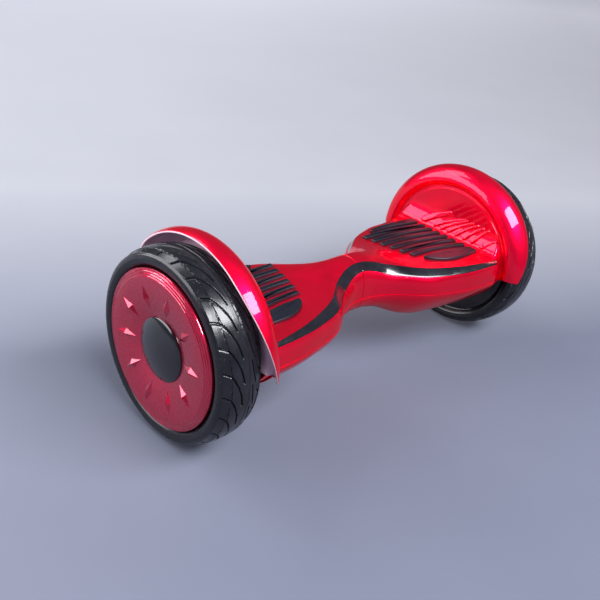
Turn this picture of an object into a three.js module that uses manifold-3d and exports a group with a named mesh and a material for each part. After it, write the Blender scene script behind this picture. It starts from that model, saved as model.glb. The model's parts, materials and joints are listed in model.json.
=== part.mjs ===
// Self balancing hoverboard with two 10 inch hub motor wheels, as a three.js scene graph.
// Millimetres. X runs along the wheel axles, -Y is the front, +Z is up.
// The origin lies on the floor, midway between the wheels.

import * as THREE from 'three';
import { mergeVertices } from 'three/addons/utils/BufferGeometryUtils.js';
import Module from 'manifold-3d';

const wasm = await Module();
wasm.setup();

// ---------------------------------------------------------------- driving dimensions

const TYRE_RADIUS = 130;
const AXLE_Z = TYRE_RADIUS;
const TYRE_INNER_X = 268;
const TYRE_OUTER_X = 331.5;
const WHEEL_X = (TYRE_INNER_X + TYRE_OUTER_X) / 2;
const AXLE_RADIUS = 8;

const PIVOT_Z = 141;
const PIVOT_RADIUS = 20;
const SEAM_HALF_GAP = 0.4;

const CASING_END_X = 234;
const PLATFORM_Z = 165;
const SHELL_WALL = 3;
const BAND_DEPTH = 2.6;
const CREASE_INSET = 10;

const FENDER_WALL_X = 252.5;
const FENDER_RADIUS = 146;
const FENDER_RIM_X = 286.6;
const LOWER_END_X = 249.5;

const PAD_TOP_Z = 170;
const RIB_WIDTH = 8.6;
const PAD_END_X = 231.5;

const FIT = 0.3;

// Casing sections at growing distance from the neck. band and low are the upper and lower edges
// of the black trim, keel is the half width of the flat underside as a share of halfWidth, and
// round is 1 where the underside is a half ellipse and 0 where it is a flat chamfer. The rear
// side's widths are a rearShare of these, and its trim sits rearDrop lower.
const STATIONS = [
  { x: 0, halfWidth: 41, crownZ: 183, bandY: 19.5, bandZ: 180.5, lowY: 33.5, lowZ: 172.5,
    partingZ: 130, keelZ: 99, keel: 0.05, round: 1, rearShare: 0.9, rearDrop: 8 },
  { x: 25, halfWidth: 43.5, crownZ: 182, bandY: 23, bandZ: 178.5, lowY: 37.5, lowZ: 168,
    partingZ: 130, keelZ: 98, keel: 0.06, round: 1, rearShare: 0.9, rearDrop: 8 },
  { x: 55, halfWidth: 57, crownZ: 176, bandY: 36, bandZ: 172, lowY: 52.5, lowZ: 160,
    partingZ: 129.5, keelZ: 91, keel: 0.15, round: 0.7, rearShare: 0.95, rearDrop: 5 },
  { x: 95, halfWidth: 87, crownZ: 168, bandY: 65.5, bandZ: 169.5, lowY: 82, lowZ: 160.5,
    partingZ: 125, keelZ: 78, keel: 0.38, round: 0.2, rearShare: 0.93, rearDrop: 4 },
  { x: 140, halfWidth: 100, crownZ: 165, bandY: 84.5, bandZ: 167.5, lowY: 97, lowZ: 159.5,
    partingZ: 121, keelZ: 72, keel: 0.45, round: 0, rearShare: 0.93, rearDrop: 3 },
  { x: 185, halfWidth: 109, crownZ: 165, bandY: 97, bandZ: 166.5, lowY: 106, lowZ: 160,
    partingZ: 120.5, keelZ: 72, keel: 0.45, round: 0, rearShare: 0.87, rearDrop: 2.5 },
  { x: 240, halfWidth: 113.5, crownZ: 165, bandY: 106, bandZ: 166, lowY: 111, lowZ: 160.5,
    partingZ: 121.5, keelZ: 72, keel: 0.45, round: 0, rearShare: 0.87, rearDrop: 2.5 },
];

const LOFT_X = [SEAM_HALF_GAP, 20, 40, 55, 70, 85, 100, 120, 150, 192, CASING_END_X];

// ---------------------------------------------------------------- geometry helpers

// Value of one casing measure at distance x, on a smooth curve through the stations that is
// level wherever the measure stops rising or falling.
function measure(name, x) {
  const last = STATIONS.length - 1;
  let i = 0;
  while (i < last - 1 && x > STATIONS[i + 1].x) i += 1;
  const slope = (k) => {
    if (k === 0) return 0;
    const [a, b, c] = [STATIONS[k - 1], STATIONS[k], STATIONS[Math.min(k + 1, last)]];
    const turns = k < last && (b[name] - a[name]) * (c[name] - b[name]) <= 0;
    return turns ? 0 : (c[name] - a[name]) / (c.x - a.x);
  };
  const p = STATIONS[i];
  const q = STATIONS[i + 1];
  const h = q.x - p.x;
  const t = (x - p.x) / h;
  const rise = q[name] - p[name];
  const bendA = slope(i) * h - rise;
  const bendB = rise - slope(i + 1) * h;
  return p[name] + rise * t + t * (1 - t) * (bendA * (1 - t) + bendB * t);
}

function closedGeometry(positions, indices) {
  const geometry = new THREE.BufferGeometry();
  geometry.setAttribute('position', new THREE.Float32BufferAttribute(positions, 3));
  geometry.setIndex(indices);
  return signedVolume(geometry) < 0 ? flipped(geometry) : geometry;
}

function signedVolume(geometry) {
  const at = geometry.getAttribute('position');
  const index = geometry.getIndex();
  const [a, b, c] = [new THREE.Vector3(), new THREE.Vector3(), new THREE.Vector3()];
  let volume = 0;
  for (let i = 0; i < index.count; i += 3) {
    a.fromBufferAttribute(at, index.getX(i));
    b.fromBufferAttribute(at, index.getX(i + 1));
    c.fromBufferAttribute(at, index.getX(i + 2));
    volume += a.dot(b.cross(c)) / 6;
  }
  return volume;
}

function flipped(geometry) {
  const index = geometry.getIndex();
  for (let i = 0; i < index.count; i += 3) {
    const first = index.getX(i);
    index.setX(i, index.getX(i + 1));
    index.setX(i + 1, first);
  }
  return geometry;
}

// A closed solid through flat outlines with the same number of points. place(step, point) puts
// an outline's 2-D point in space. With folded outlines, whose second half runs back along the
// first, the end caps join the opposite points.
function loft(outlines, place, folded = false) {
  const count = outlines[0].length;
  const positions = [];
  outlines.forEach((outline, step) => {
    outline.forEach((point) => positions.push(...place(step, point)));
  });
  const indices = [];
  for (let step = 0; step < outlines.length - 1; step += 1) {
    for (let i = 0; i < count; i += 1) {
      const a = step * count + i;
      const b = step * count + ((i + 1) % count);
      indices.push(a, b, b + count, a, b + count, a + count);
    }
  }
  const cap = (step, facesOn) => {
    for (const [i, j, k] of capFaces(outlines[step], folded)) {
      const base = step * count;
      if (facesOn) indices.push(base + i, base + j, base + k);
      else indices.push(base + i, base + k, base + j);
    }
  };
  const clockwise = !folded && THREE.ShapeUtils.isClockWise(outlines[0]);
  cap(0, clockwise);
  cap(outlines.length - 1, !clockwise);
  return closedGeometry(positions, indices);
}

function capFaces(outline, folded) {
  if (!folded) return THREE.ShapeUtils.triangulateShape(outline, []);
  const faces = [];
  const count = outline.length;
  for (let i = 0; i < count / 2 - 1; i += 1) {
    const across = count - 1 - i;
    faces.push([i, i + 1, across - 1], [i, across - 1, across]);
  }
  return faces;
}

function loftAlongX(outlines, xs) {
  return loft(outlines, (step, p) => [xs[step], p.x, p.y]);
}

// A solid of revolution about X. The profile lists [x, radius] and closes on itself, or starts
// and ends on the axis. Half a facet of turn puts a flat facet at the bottom.
function turned(profile, facets) {
  const points = profile.map(([x, radius]) => new THREE.Vector2(radius, x));
  const onAxis = profile[0][1] === 0 && profile[profile.length - 1][1] === 0;
  if (!onAxis) points.push(points[0].clone());
  const geometry = new THREE.LatheGeometry(points, facets);
  geometry.rotateY(Math.PI / facets);
  geometry.rotateZ(-Math.PI / 2);
  return welded(geometry);
}

function welded(geometry) {
  geometry.deleteAttribute('normal');
  geometry.deleteAttribute('uv');
  const merged = mergeVertices(geometry, 1e-4);
  const index = merged.getIndex();
  const kept = [];
  for (let i = 0; i < index.count; i += 3) {
    const [a, b, c] = [index.getX(i), index.getX(i + 1), index.getX(i + 2)];
    if (a !== b && b !== c && c !== a) kept.push(a, b, c);
  }
  merged.setIndex(kept);
  return signedVolume(merged) < 0 ? flipped(merged) : merged;
}

function box(low, high) {
  const size = high.map((value, i) => value - low[i]);
  const geometry = new THREE.BoxGeometry(...size);
  geometry.translate(...low.map((value, i) => value + size[i] / 2));
  return welded(geometry);
}

// A rod along X from x0 to x1 about the line y, z.
function rodX(radius, x0, x1, y, z, facets = 24) {
  const geometry = new THREE.CylinderGeometry(radius, radius, x1 - x0, facets);
  geometry.rotateZ(Math.PI / 2);
  geometry.translate((x0 + x1) / 2, y, z);
  return welded(geometry);
}

function ring(inner, outer, x0, x1, facets) {
  return turned([[x0, inner], [x1, inner], [x1, outer], [x0, outer]], facets);
}

function plate(outline, z0, z1) {
  const geometry = new THREE.ExtrudeGeometry(new THREE.Shape(outline), {
    depth: z1 - z0, bevelEnabled: false,
  });
  geometry.translate(0, 0, z0);
  return welded(geometry);
}

// A cable of the given radius along a smooth curve through the points.
function cable(points, radius, steps) {
  const curve = new THREE.CatmullRomCurve3(points.map((p) => new THREE.Vector3(...p)));
  const sides = 8;
  const section = new THREE.Shape(Array.from({ length: sides }, (_, i) => {
    const angle = (2 * Math.PI * i) / sides;
    return vec(radius * Math.cos(angle), radius * Math.sin(angle));
  }));
  return welded(new THREE.ExtrudeGeometry(section, { steps, extrudePath: curve }));
}

function toSolid(geometry) {
  return new wasm.Manifold(new wasm.Mesh({
    numProp: 3,
    vertProperties: new Float32Array(geometry.getAttribute('position').array),
    triVerts: new Uint32Array(geometry.getIndex().array),
  }));
}

function toGeometry(solid) {
  const mesh = solid.getMesh();
  const geometry = new THREE.BufferGeometry();
  geometry.setAttribute('position', new THREE.BufferAttribute(mesh.vertProperties, 3));
  geometry.setIndex(new THREE.BufferAttribute(mesh.triVerts, 1));
  return geometry;
}

function joined(...pieces) {
  return toGeometry(pieces.map(toSolid).reduce((a, b) => a.add(b)));
}

function cut(piece, ...tools) {
  return toGeometry(tools.map(toSolid).reduce((a, b) => a.subtract(b), toSolid(piece)));
}

function mirrored(geometry) {
  const copy = geometry.clone();
  copy.scale(-1, 1, 1);
  return flipped(copy);
}

// ---------------------------------------------------------------- casing sections

const vec = (x, y) => new THREE.Vector2(x, y);

// Width of a casing measure on the front side, or on the narrower rear side.
function width(name, x, isRear) {
  return measure(name, x) * (isRear ? measure('rearShare', x) : 1);
}

// The trim band's unit vector from its upper to its lower edge, and the inward normal.
function bandFrame(x, isRear) {
  const drop = isRear ? measure('rearDrop', x) : 0;
  const top = vec(width('bandY', x, isRear), measure('bandZ', x) - drop);
  const low = vec(width('lowY', x, isRear), measure('lowZ', x) - drop);
  const down = low.clone().sub(top).normalize();
  return { top, low, down, inward: vec(down.y, -down.x) };
}

// The casing's side from the trim band's lower edge down to the parting line.
function sideCurve(x, isRear) {
  const { low } = bandFrame(x, isRear);
  const w = width('halfWidth', x, isRear);
  const z = measure('partingZ', x);
  const height = low.y - z;
  const bulge = low.x + 0.8 * (w - low.x) + 1.5;
  return new THREE.CubicBezierCurve(
    low, vec(bulge, low.y - 0.25 * height), vec(w, z + 0.45 * height), vec(w, z));
}

// One side of the upper section, turned to +Y, from the crown to the parting line.
function upperHalf(x, recessed, isRear) {
  const { top, low, inward } = bandFrame(x, isRear);
  const crown = measure('crownZ', x);
  const inset = Math.min(CREASE_INSET, 0.35 * top.x);
  const crease = vec(top.x - inset, crown + 0.5 * (top.y - crown));
  const middle = vec(0.5 * top.x, crown + 0.18 * (top.y - crown));
  const side = sideCurve(x, isRear).getPoints(3).slice(1);
  const band = recessed
    ? [top, top.clone().addScaledVector(inward, BAND_DEPTH),
       low.clone().addScaledVector(inward, BAND_DEPTH), low]
    : [top, low];
  return [vec(0, crown), middle, crease, ...band, ...side];
}

// One side of the lower section, turned to +Y, from the parting line to the keel line.
function lowerCurve(x, isRear) {
  const w = width('halfWidth', x, isRear);
  const z = measure('partingZ', x);
  const depth = z - measure('keelZ', x);
  const keel = measure('keel', x) * w;
  const round = measure('round', x);
  const drop = THREE.MathUtils.lerp(0.15, 0.55, round) * depth;
  const run = THREE.MathUtils.lerp(0.1, 0.55, round) * w;
  return new THREE.CubicBezierCurve(
    vec(w, z), vec(w, z - drop), vec(keel + run, z - depth), vec(keel, z - depth));
}

// The rear and the front half outline as one open line from +Y to -Y.
function bothSides(rearHalf, frontHalf) {
  const front = frontHalf.slice(1).map((p) => vec(-p.x, p.y));
  return [...rearHalf.slice().reverse(), ...front];
}

// A half outline moved inwards by the given distances, one for each point.
function insetHalf(half, distances) {
  return half.map((point, i) => {
    const before = half[Math.max(i - 1, 0)];
    const after = half[Math.min(i + 1, half.length - 1)];
    const along = after.clone().sub(before).normalize();
    const moved = point.clone().add(vec(along.y, -along.x).multiplyScalar(distances[i]));
    if (i === 0) moved.x = 0;
    if (i === half.length - 1) moved.y = point.y;
    return moved;
  });
}

// ---------------------------------------------------------------- casing pieces

// An outline moved outwards by a distance, or inwards by a negative one.
function grown(outline, distance) {
  const sense = THREE.ShapeUtils.isClockWise(outline) ? -distance : distance;
  const count = outline.length;
  return outline.map((point, i) => {
    const back = point.clone().sub(outline[(i + count - 1) % count]).normalize();
    const ahead = outline[(i + 1) % count].clone().sub(point).normalize();
    const bisector = vec(back.y + ahead.y, -back.x - ahead.x);
    return point.clone().addScaledVector(bisector, sense / (1 + back.dot(ahead)));
  });
}

// Plan outline of one pad rib. frontY is its front edge where it runs straight, and sweep is how
// far its outer end swings forward.
function ribOutline({ innerX, frontY, sweep }) {
  const corner = 2.5;
  const bendX = 130;
  const xs = [innerX, innerX + corner, 160, 195, PAD_END_X - corner, PAD_END_X];
  const shift = (x) => frontY - sweep * Math.max(0, (x - bendX) / (PAD_END_X - bendX)) ** 2;
  const inEnd = (i) => (i === 0 || i === xs.length - 1 ? corner : 0);
  const front = xs.map((x, i) => vec(x, shift(x) + inEnd(i)));
  const rear = xs.map((x, i) => vec(x, shift(x) + RIB_WIDTH - inEnd(i)));
  return [...front, ...rear.reverse()];
}

// The six ribs, counted from the rear, between the two leaf shaped end pieces.
const RIBS = [
  { innerX: 98.6, frontY: 49.7, sweep: 14 },
  { innerX: 101.7, frontY: 34.2, sweep: 14 },
  { innerX: 104.9, frontY: 18.6, sweep: 14.4 },
  { innerX: 109.7, frontY: 2.6, sweep: 14.4 },
  { innerX: 114.8, frontY: -13.4, sweep: 15 },
  { innerX: 121.7, frontY: -29.4, sweep: 17.5 },
];

// The leaf in front of the ribs: a nearly straight rear edge and a bowed front edge.
const FRONT_LEAF = [
  vec(132, -39.5), vec(134.5, -47), vec(142, -55.5), vec(155, -64), vec(168, -69), vec(185, -71.5),
  vec(205, -71.5), vec(PAD_END_X, -69.5), vec(PAD_END_X, -54.5), vec(205, -47.5), vec(170, -41),
];

// The narrower leaf behind the ribs.
const REAR_LEAF = [
  vec(126, 66), vec(165, 64.3), vec(200, 59), vec(PAD_END_X, 51.8), vec(PAD_END_X, 68),
  vec(200, 72), vec(165, 73), vec(133, 71.5),
];

function padOutlines() {
  return [REAR_LEAF, ...RIBS.map(ribOutline), FRONT_LEAF];
}

function topShell() {
  const outlines = LOFT_X.map((x) => {
    const outer = bothSides(upperHalf(x, true, true), upperHalf(x, true, false));
    const deep = SHELL_WALL + BAND_DEPTH;
    const [rear, front] = [true, false].map((isRear) => {
      const plain = upperHalf(x, false, isRear);
      return insetHalf(plain, plain.map((_, i) => (i === 3 || i === 4 ? deep : SHELL_WALL)));
    });
    return [...outer, ...bothSides(rear, front).reverse()];
  });
  const shell = loftAlongX(outlines, LOFT_X);
  const slots = padOutlines().map((outline) => plate(grown(outline, 0.6), PLATFORM_Z - 8,
    PAD_TOP_Z));
  return cut(shell, ...slots);
}

// One black trim strip, seated in the band recess of the rear side, or of the front side.
function trimStrip(isRear) {
  const xs = LOFT_X.map((x, i) => (i === LOFT_X.length - 1 ? x - FIT : x));
  const outlines = xs.map((x) => {
    const { top, low, down, inward } = bandFrame(x, isRear);
    const seat = inward.clone().multiplyScalar(BAND_DEPTH - FIT);
    const upper = top.clone().addScaledVector(down, FIT);
    const lower = low.clone().addScaledVector(down, -FIT);
    const rear = [upper, lower, lower.clone().add(seat), upper.clone().add(seat)];
    return isRear ? rear : [1, 0, 3, 2].map((i) => vec(-rear[i].x, rear[i].y));
  });
  return loftAlongX(outlines, xs);
}

function footPad() {
  const slab = plate([vec(108, 62), vec(108, -26), vec(135, -50), vec(150, -60), vec(229, -68),
    vec(229, 66), vec(130, 68)], 153, 159);
  const ribs = padOutlines().map((outline) => plate(outline, 158, PAD_TOP_Z));
  return joined(slab, ...ribs);
}

// The lower casing's outline at x, moved in by wall, with straight edges up to rimZ.
function lowerOutline(x, wall, rimZ) {
  const [rear, front] = [true, false].map((isRear) => {
    const samples = lowerCurve(x, isRear).getPoints(5).reverse();
    const line = [vec(0, samples[0].y), ...samples];
    const moved = insetHalf(line, line.map(() => -wall));
    moved[moved.length - 1].y = rimZ;
    return moved;
  });
  return bothSides(rear, front);
}

// The round fittings sit in the flat underside of each half: the charge socket on the right and
// the power button on the left.
const FITTING = { x: 152, y: 26 };
const UNDERSIDE_Z = 72;

// A turned piece hanging under the underside. The profile lists [depth, radius], with depth
// counted downwards from the underside.
function underside(profile, facets) {
  const closed = [...profile, profile[0]];
  const geometry = new THREE.LatheGeometry(closed.map(([depth, r]) => vec(r, -depth)), facets);
  geometry.rotateX(Math.PI / 2);
  geometry.translate(FITTING.x, FITTING.y, UNDERSIDE_Z);
  return welded(geometry);
}

function solidUnderside(profile, facets) {
  const last = profile[profile.length - 1];
  return underside([[profile[0][0], 0], ...profile, [last[0], 0]], facets);
}

function bottomShell() {
  const xs = [...LOFT_X.slice(0, -1), CASING_END_X, CASING_END_X + FIT, LOWER_END_X];
  const rim = (x) => (x > CASING_END_X ? AXLE_Z - FIT : measure('partingZ', x) - FIT);
  const flank = (x) => (x > CASING_END_X ? CASING_END_X : x);
  const outer = loftAlongX(xs.map((x) => lowerOutline(flank(x), x > CASING_END_X ? 2.5 : 0, rim(x))),
    xs);
  const innerXs = [-5, ...xs.slice(1, -1), LOWER_END_X - SHELL_WALL];
  const hollow = loftAlongX(innerXs.map((x) => lowerOutline(
    flank(Math.max(x, 0)), x > CASING_END_X ? 5.5 : SHELL_WALL, AXLE_Z + 20)), innerXs);
  const notch = rodX(18, LOWER_END_X - 8, LOWER_END_X + 5, 0, AXLE_Z, 20);
  const hole = solidUnderside([[-12, 9.2], [-0.6, 9.2], [-0.6, 12.2], [6, 12.2]], 16);
  return cut(outer, hollow, notch, hole);
}

// ---------------------------------------------------------------- fender

const FOOT_EDGE_R = 104;
const FOOT_BASE_R = 108.5;
const TUBE_FOOT_R = 115.8;
const TUBE_X = 272;
const TUBE_RUN = 26;
const TUBE_BASE_R = 121;
const RIM_LOW_X = 256;
const COVE_HEIGHT = 35;
const FENDER_START = 1.5;

// How far the fender's inboard face stands towards the platform: 1 on the foot, 0 on the wall,
// with a concave cove in between.
function coveShare(z) {
  const up = THREE.MathUtils.clamp((z - PLATFORM_Z) / COVE_HEIGHT, 0, 1);
  return 1 - Math.sqrt(1 - (1 - up) ** 2);
}

// X of the rim edge at an angle above the horizontal; it sweeps inboard at both lower ends.
function rimX(degrees) {
  const fromEnd = Math.min(degrees, 180 - degrees);
  const share = Math.min(1, fromEnd / 58);
  return RIM_LOW_X + (FENDER_RIM_X - RIM_LOW_X) * Math.sin((share * Math.PI) / 2);
}

// The fender's rounded tube stands proud of the wall. A quarter ellipse runs from its inboard
// side (way 0) to its crest (way 1), and then it falls gently to the rim (way 1.5).
function tubePoint(way, inset) {
  if (way <= 1) {
    const angle = (way * Math.PI) / 2;
    return vec(TUBE_X - (TUBE_RUN - inset) * Math.cos(angle),
      TUBE_BASE_R + (FENDER_RADIUS - TUBE_BASE_R - inset) * Math.sin(angle));
  }
  const past = (way - 1) * 2;
  return vec(TUBE_X + (FENDER_RIM_X - TUBE_X) * past, FENDER_RADIUS - inset - 3 * past ** 2);
}

// Where along the tube its x is reached.
function tubeWay(x, inset) {
  if (x > TUBE_X) return 1 + (0.5 * (x - TUBE_X)) / (FENDER_RIM_X - TUBE_X);
  return Math.acos((TUBE_X - x) / (TUBE_RUN - inset)) / (Math.PI / 2);
}

function fenderOutline(degrees) {
  const sine = Math.sin(THREE.MathUtils.degToRad(degrees));
  const footDepth = FENDER_WALL_X - CASING_END_X - FIT;
  const face = (r) => FENDER_WALL_X - footDepth * coveShare(AXLE_Z + r * sine);
  const edge = rimX(degrees);
  const tube = (inset) => {
    const full = tubeWay(edge, inset);
    return [0.05, 0.27, 0.5, 0.75, 1].map((share) => tubePoint(share * full, inset));
  };
  const radii = [18, 42, 64, 84];
  const outer = [
    ...radii.map((r) => vec(face(r), r)),
    vec(face(FOOT_EDGE_R), FOOT_EDGE_R),
    vec(FENDER_WALL_X, FOOT_BASE_R),
    vec(FENDER_WALL_X, TUBE_FOOT_R),
    ...tube(0),
  ];
  const inner = [
    ...radii.map((r) => vec(face(r) + SHELL_WALL, r)),
    vec(face(FOOT_EDGE_R) + SHELL_WALL, FOOT_EDGE_R - SHELL_WALL),
    vec(FENDER_WALL_X + SHELL_WALL, FOOT_BASE_R - SHELL_WALL),
    vec(FENDER_WALL_X + SHELL_WALL, TUBE_FOOT_R + 1.2),
    ...tube(SHELL_WALL),
  ];
  return [...outer, ...inner.reverse()];
}

function fender() {
  const steps = 24;
  const angles = Array.from({ length: steps + 1 },
    (_, i) => FENDER_START + (180 - 2 * FENDER_START) * (i / steps));
  return loft(angles.map(fenderOutline), (step, p) => {
    const angle = THREE.MathUtils.degToRad(angles[step]);
    return [p.x, -p.y * Math.cos(angle), AXLE_Z + p.y * Math.sin(angle)];
  }, true);
}

// ---------------------------------------------------------------- wheel, about its own centre

const half = (TYRE_OUTER_X - TYRE_INNER_X) / 2;

function tyre() {
  const facets = 30;
  const crown = TYRE_RADIUS / Math.cos(Math.PI / facets);
  const outer = [[-23, 98], [-23, 105], [-29.5, 109], [-half, 117], [-27, 125], [-15, 129.2],
    [0, crown]];
  const inner = [[0, crown - 8], [-21, 120], [-25.5, 113], [-17, 103], [-17, 98]];
  const flip = (list) => list.map(([x, r]) => [-x, r]);
  return turned([...outer, ...flip(outer.slice(0, -1)).reverse(),
    ...flip(inner.slice(1)).reverse(), ...inner], facets);
}

function innerTube() {
  const facets = 16;
  const sides = 6;
  const loop = (halfWidth, halfHeight) => Array.from({ length: sides }, (_, i) => {
    const angle = (2 * Math.PI * i) / sides;
    return [halfWidth * Math.cos(angle), 108.5 + halfHeight * Math.sin(angle)];
  });
  const valveMouth = new THREE.CylinderGeometry(3, 3, 8, 6);
  valveMouth.translate(0, 101, 0);
  valveMouth.rotateX(Math.PI / facets);
  return cut(turned(loop(17, 9.5), facets), turned(loop(14.5, 7.5), facets), welded(valveMouth));
}

function rim() {
  return turned([
    [-26.4, 78.5], [19, 78.5], [19, 22], [13, 22], [13, 17.3], [21, 17.3], [24.5, 60],
    [26.8, 92], [26.8, 103], [23.4, 103], [23.4, 96.5], [-23.4, 96.5], [-23.4, 103], [-26.4, 103],
  ], 22);
}

function magnetRing() {
  return ring(74.6, 77.8, -15, 15, 22);
}

function stator() {
  const teeth = 18;
  const shape = new THREE.Shape();
  for (let i = 0; i < teeth; i += 1) {
    const at = (share, r) => {
      const angle = (2 * Math.PI * (i + share)) / teeth;
      return [r * Math.cos(angle), r * Math.sin(angle)];
    };
    if (i === 0) shape.moveTo(...at(0.1, 56));
    else shape.lineTo(...at(0.1, 56));
    shape.lineTo(...at(0.1, 73));
    shape.lineTo(...at(0.9, 73));
    shape.lineTo(...at(0.9, 56));
  }
  shape.closePath();
  shape.holes.push(new THREE.Path().absarc(0, 0, AXLE_RADIUS + FIT, 0, 2 * Math.PI, true));
  const geometry = new THREE.ExtrudeGeometry(shape, {
    depth: 20, bevelEnabled: false, curveSegments: 6,
  });
  geometry.translate(0, 0, -10);
  geometry.rotateY(Math.PI / 2);
  return welded(geometry);
}

// The red disc: dished towards the middle, stepped down at its edge, with raised diamonds.
const DIAMOND_COUNT = 10;
const DIAMOND_START = 6.4;

function hubCover() {
  const face = (x) => x - WHEEL_X;
  const disc = turned([
    [face(323.3), 40], [face(326.4), 40], [face(330.3), 54], [face(335), 84],
    [face(335), 97], [face(331), 106.4], [face(327.4), 106.4], [face(327.4), 94], [face(331), 84],
  ], 32);
  const diamonds = [];
  for (let i = 0; i < DIAMOND_COUNT; i += 1) {
    const gem = new THREE.ConeGeometry(7.3, 5.5, 4, 1);
    gem.scale(1, 1, 2.7);
    gem.rotateZ(-Math.PI / 2);
    gem.rotateY(THREE.MathUtils.degToRad(8.5));
    gem.translate(face(333.6), 0, 68.3);
    gem.rotateX(THREE.MathUtils.degToRad(90 - DIAMOND_START - (360 / DIAMOND_COUNT) * i));
    diamonds.push(welded(gem));
  }
  return joined(disc, ...diamonds);
}

function centreCap() {
  const face = (x) => x - WHEEL_X;
  return turned([[face(323.6), 0], [face(323.6), 39.4], [face(327.8), 39.4], [face(327.8), 42.8],
    [face(329.4), 42.6], [face(333.4), 34], [face(336.4), 18], [face(337), 0]], 24);
}

function innerCover() {
  return turned([[-30.5, 17.4], [-19.5, 17.4], [-19.5, 22], [-26.8, 24], [-26.8, 97], [-30, 97],
    [-30.5, 60]], 22);
}

function axle() {
  return turned([[205 - WHEEL_X, 0], [205 - WHEEL_X, AXLE_RADIUS], [21.5, AXLE_RADIUS], [21.5, 0]], 16);
}

// ---------------------------------------------------------------- chassis and electronics

const TRAY_END_X = 233;
const SOCKET_START_X = 8;
const SOCKET_END_X = 72;

// Chassis half: a tray with side walls, a socket for the pivot tube, and the axle's lower seat.
// cableY is where a cable drops through the tray.
function frameHalf(boreRadius, cableY) {
  const body = joined(
    box([60, -44, 121], [TRAY_END_X, 44, 125]),
    box([78, 40, 122], [TRAY_END_X, 44, 147]),
    box([78, -44, 122], [TRAY_END_X, -40, 147]),
    box([54, -26, 121], [SOCKET_END_X, 26, 146]),
    rodX(27, SOCKET_START_X, SOCKET_END_X, 0, PIVOT_Z, 24),
    box([205, -24, 122], [TRAY_END_X, 24, AXLE_Z - 0.15]),
  );
  return cut(body,
    rodX(boreRadius, SOCKET_START_X - 5, SOCKET_END_X + 15, 0, PIVOT_Z, 24),
    rodX(27.5, SOCKET_END_X, SOCKET_END_X + 12, 0, PIVOT_Z, 24),
    rodX(AXLE_RADIUS + FIT, 200, TRAY_END_X + 5, 0, AXLE_Z, 16),
    box([88, cableY - 6, 118], [100, cableY + 6, 128]),
    box([120, -20, 118], [180, 20, 128]));
}

function axleClamp() {
  return cut(box([207, -22, AXLE_Z + 0.15], [231, 22, 143]),
    rodX(AXLE_RADIUS + FIT, 200, 240, 0, AXLE_Z, 16));
}

function sensorBoard() {
  const board = box([128, 24, 126], [190, 38, 127.6]);
  const eyes = [134, 176].map((x) => box([x, 27, 127], [x + 10, 35, 148]));
  return joined(board, ...eyes);
}

function batteryPack() {
  const corner = 6;
  const [low, high] = [82, 120];
  const outline = [vec(-43, low + 14), vec(-43 + 9, low), vec(43 - 9, low), vec(43, low + 14),
    vec(43, high - corner), vec(43 - corner, high), vec(-43 + corner, high), vec(-43, high - corner)];
  return loftAlongX([outline, outline], [104, 230]);
}

function controlBoard() {
  const board = box([104, -38, 112], [226, 38, 113.6]);
  const capacitors = [[118, -24], [118, -8], [118, 8]].map(([x, y]) => {
    const can = new THREE.CylinderGeometry(6, 6, 18, 10);
    can.rotateX(Math.PI / 2);
    can.translate(x, y, 103.5);
    return welded(can);
  });
  const sockets = [-30, -14, 2, 18].map((y) => box([208, y, 104], [220, y + 11, 113]));
  return joined(board, ...capacitors, ...sockets);
}

function heatSink() {
  const base = box([140, -30, 114], [200, 30, 117]);
  const fins = [-28, -16, -4, 8, 20].map((y) => box([140, y, 116], [200, y + 3, 120.5]));
  return joined(base, ...fins);
}

function pivotTube() {
  return ring(16.5, PIVOT_RADIUS, -70, 80, 20);
}

function pivotBushing(x0) {
  return ring(PIVOT_RADIUS + 0.4, 24, x0, x0 + 22, 20);
}

function lockRing() {
  return ring(PIVOT_RADIUS + 0.4, 25.5, SOCKET_END_X + 1, SOCKET_END_X + 5, 20);
}

// ---------------------------------------------------------------- fittings in the lower casing

function chargeSocket() {
  const housing = solidUnderside([[-14, 8], [-0.2, 8], [-0.2, 11.5], [1.6, 11.5]], 16);
  return cut(housing, solidUnderside([[-9, 5], [4, 5]], 12));
}

function socketCover() {
  return solidUnderside([[1.9, 10.5], [3.4, 10.5], [4, 9]], 16);
}

function buttonBezel() {
  return underside([[-6, 8.6], [-0.2, 8.6], [-0.2, 11.5], [1.6, 11.5], [1.6, 7.2], [-6, 7.2]], 16);
}

function powerButton() {
  return solidUnderside([[-7, 6.6], [2.6, 6.6], [3.2, 5.4]], 16);
}

// ---------------------------------------------------------------- assembly

const root = new THREE.Group();

const FINISH = {
  paint: { color: 0xc3061f, roughness: 0.2, metalness: 0.35 },
  hubPaint: { color: 0x8e0d20, roughness: 0.42, metalness: 0.6 },
  gloss: { color: 0x0c0d11, roughness: 0.12, metalness: 0 },
  pad: { color: 0x2a3040, roughness: 0.75, metalness: 0 },
  tyre: { color: 0x17181c, roughness: 0.6, metalness: 0 },
  alloy: { color: 0xb4b7bc, roughness: 0.4, metalness: 1 },
  steel: { color: 0x8f9298, roughness: 0.3, metalness: 1 },
  copper: { color: 0xb06a3a, roughness: 0.45, metalness: 0.9 },
  board: { color: 0x12512f, roughness: 0.5, metalness: 0 },
  plastic: { color: 0x1b1c20, roughness: 0.5, metalness: 0 },
  wrap: { color: 0x2d5aa8, roughness: 0.45, metalness: 0 },
  nylon: { color: 0xe6e2d6, roughness: 0.5, metalness: 0 },
  rubber: { color: 0x101114, roughness: 0.8, metalness: 0 },
};

function add(parent, name, geometry, finish) {
  const mesh = new THREE.Mesh(geometry, new THREE.MeshStandardMaterial(FINISH[finish]));
  mesh.name = name;
  parent.add(mesh);
}

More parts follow.
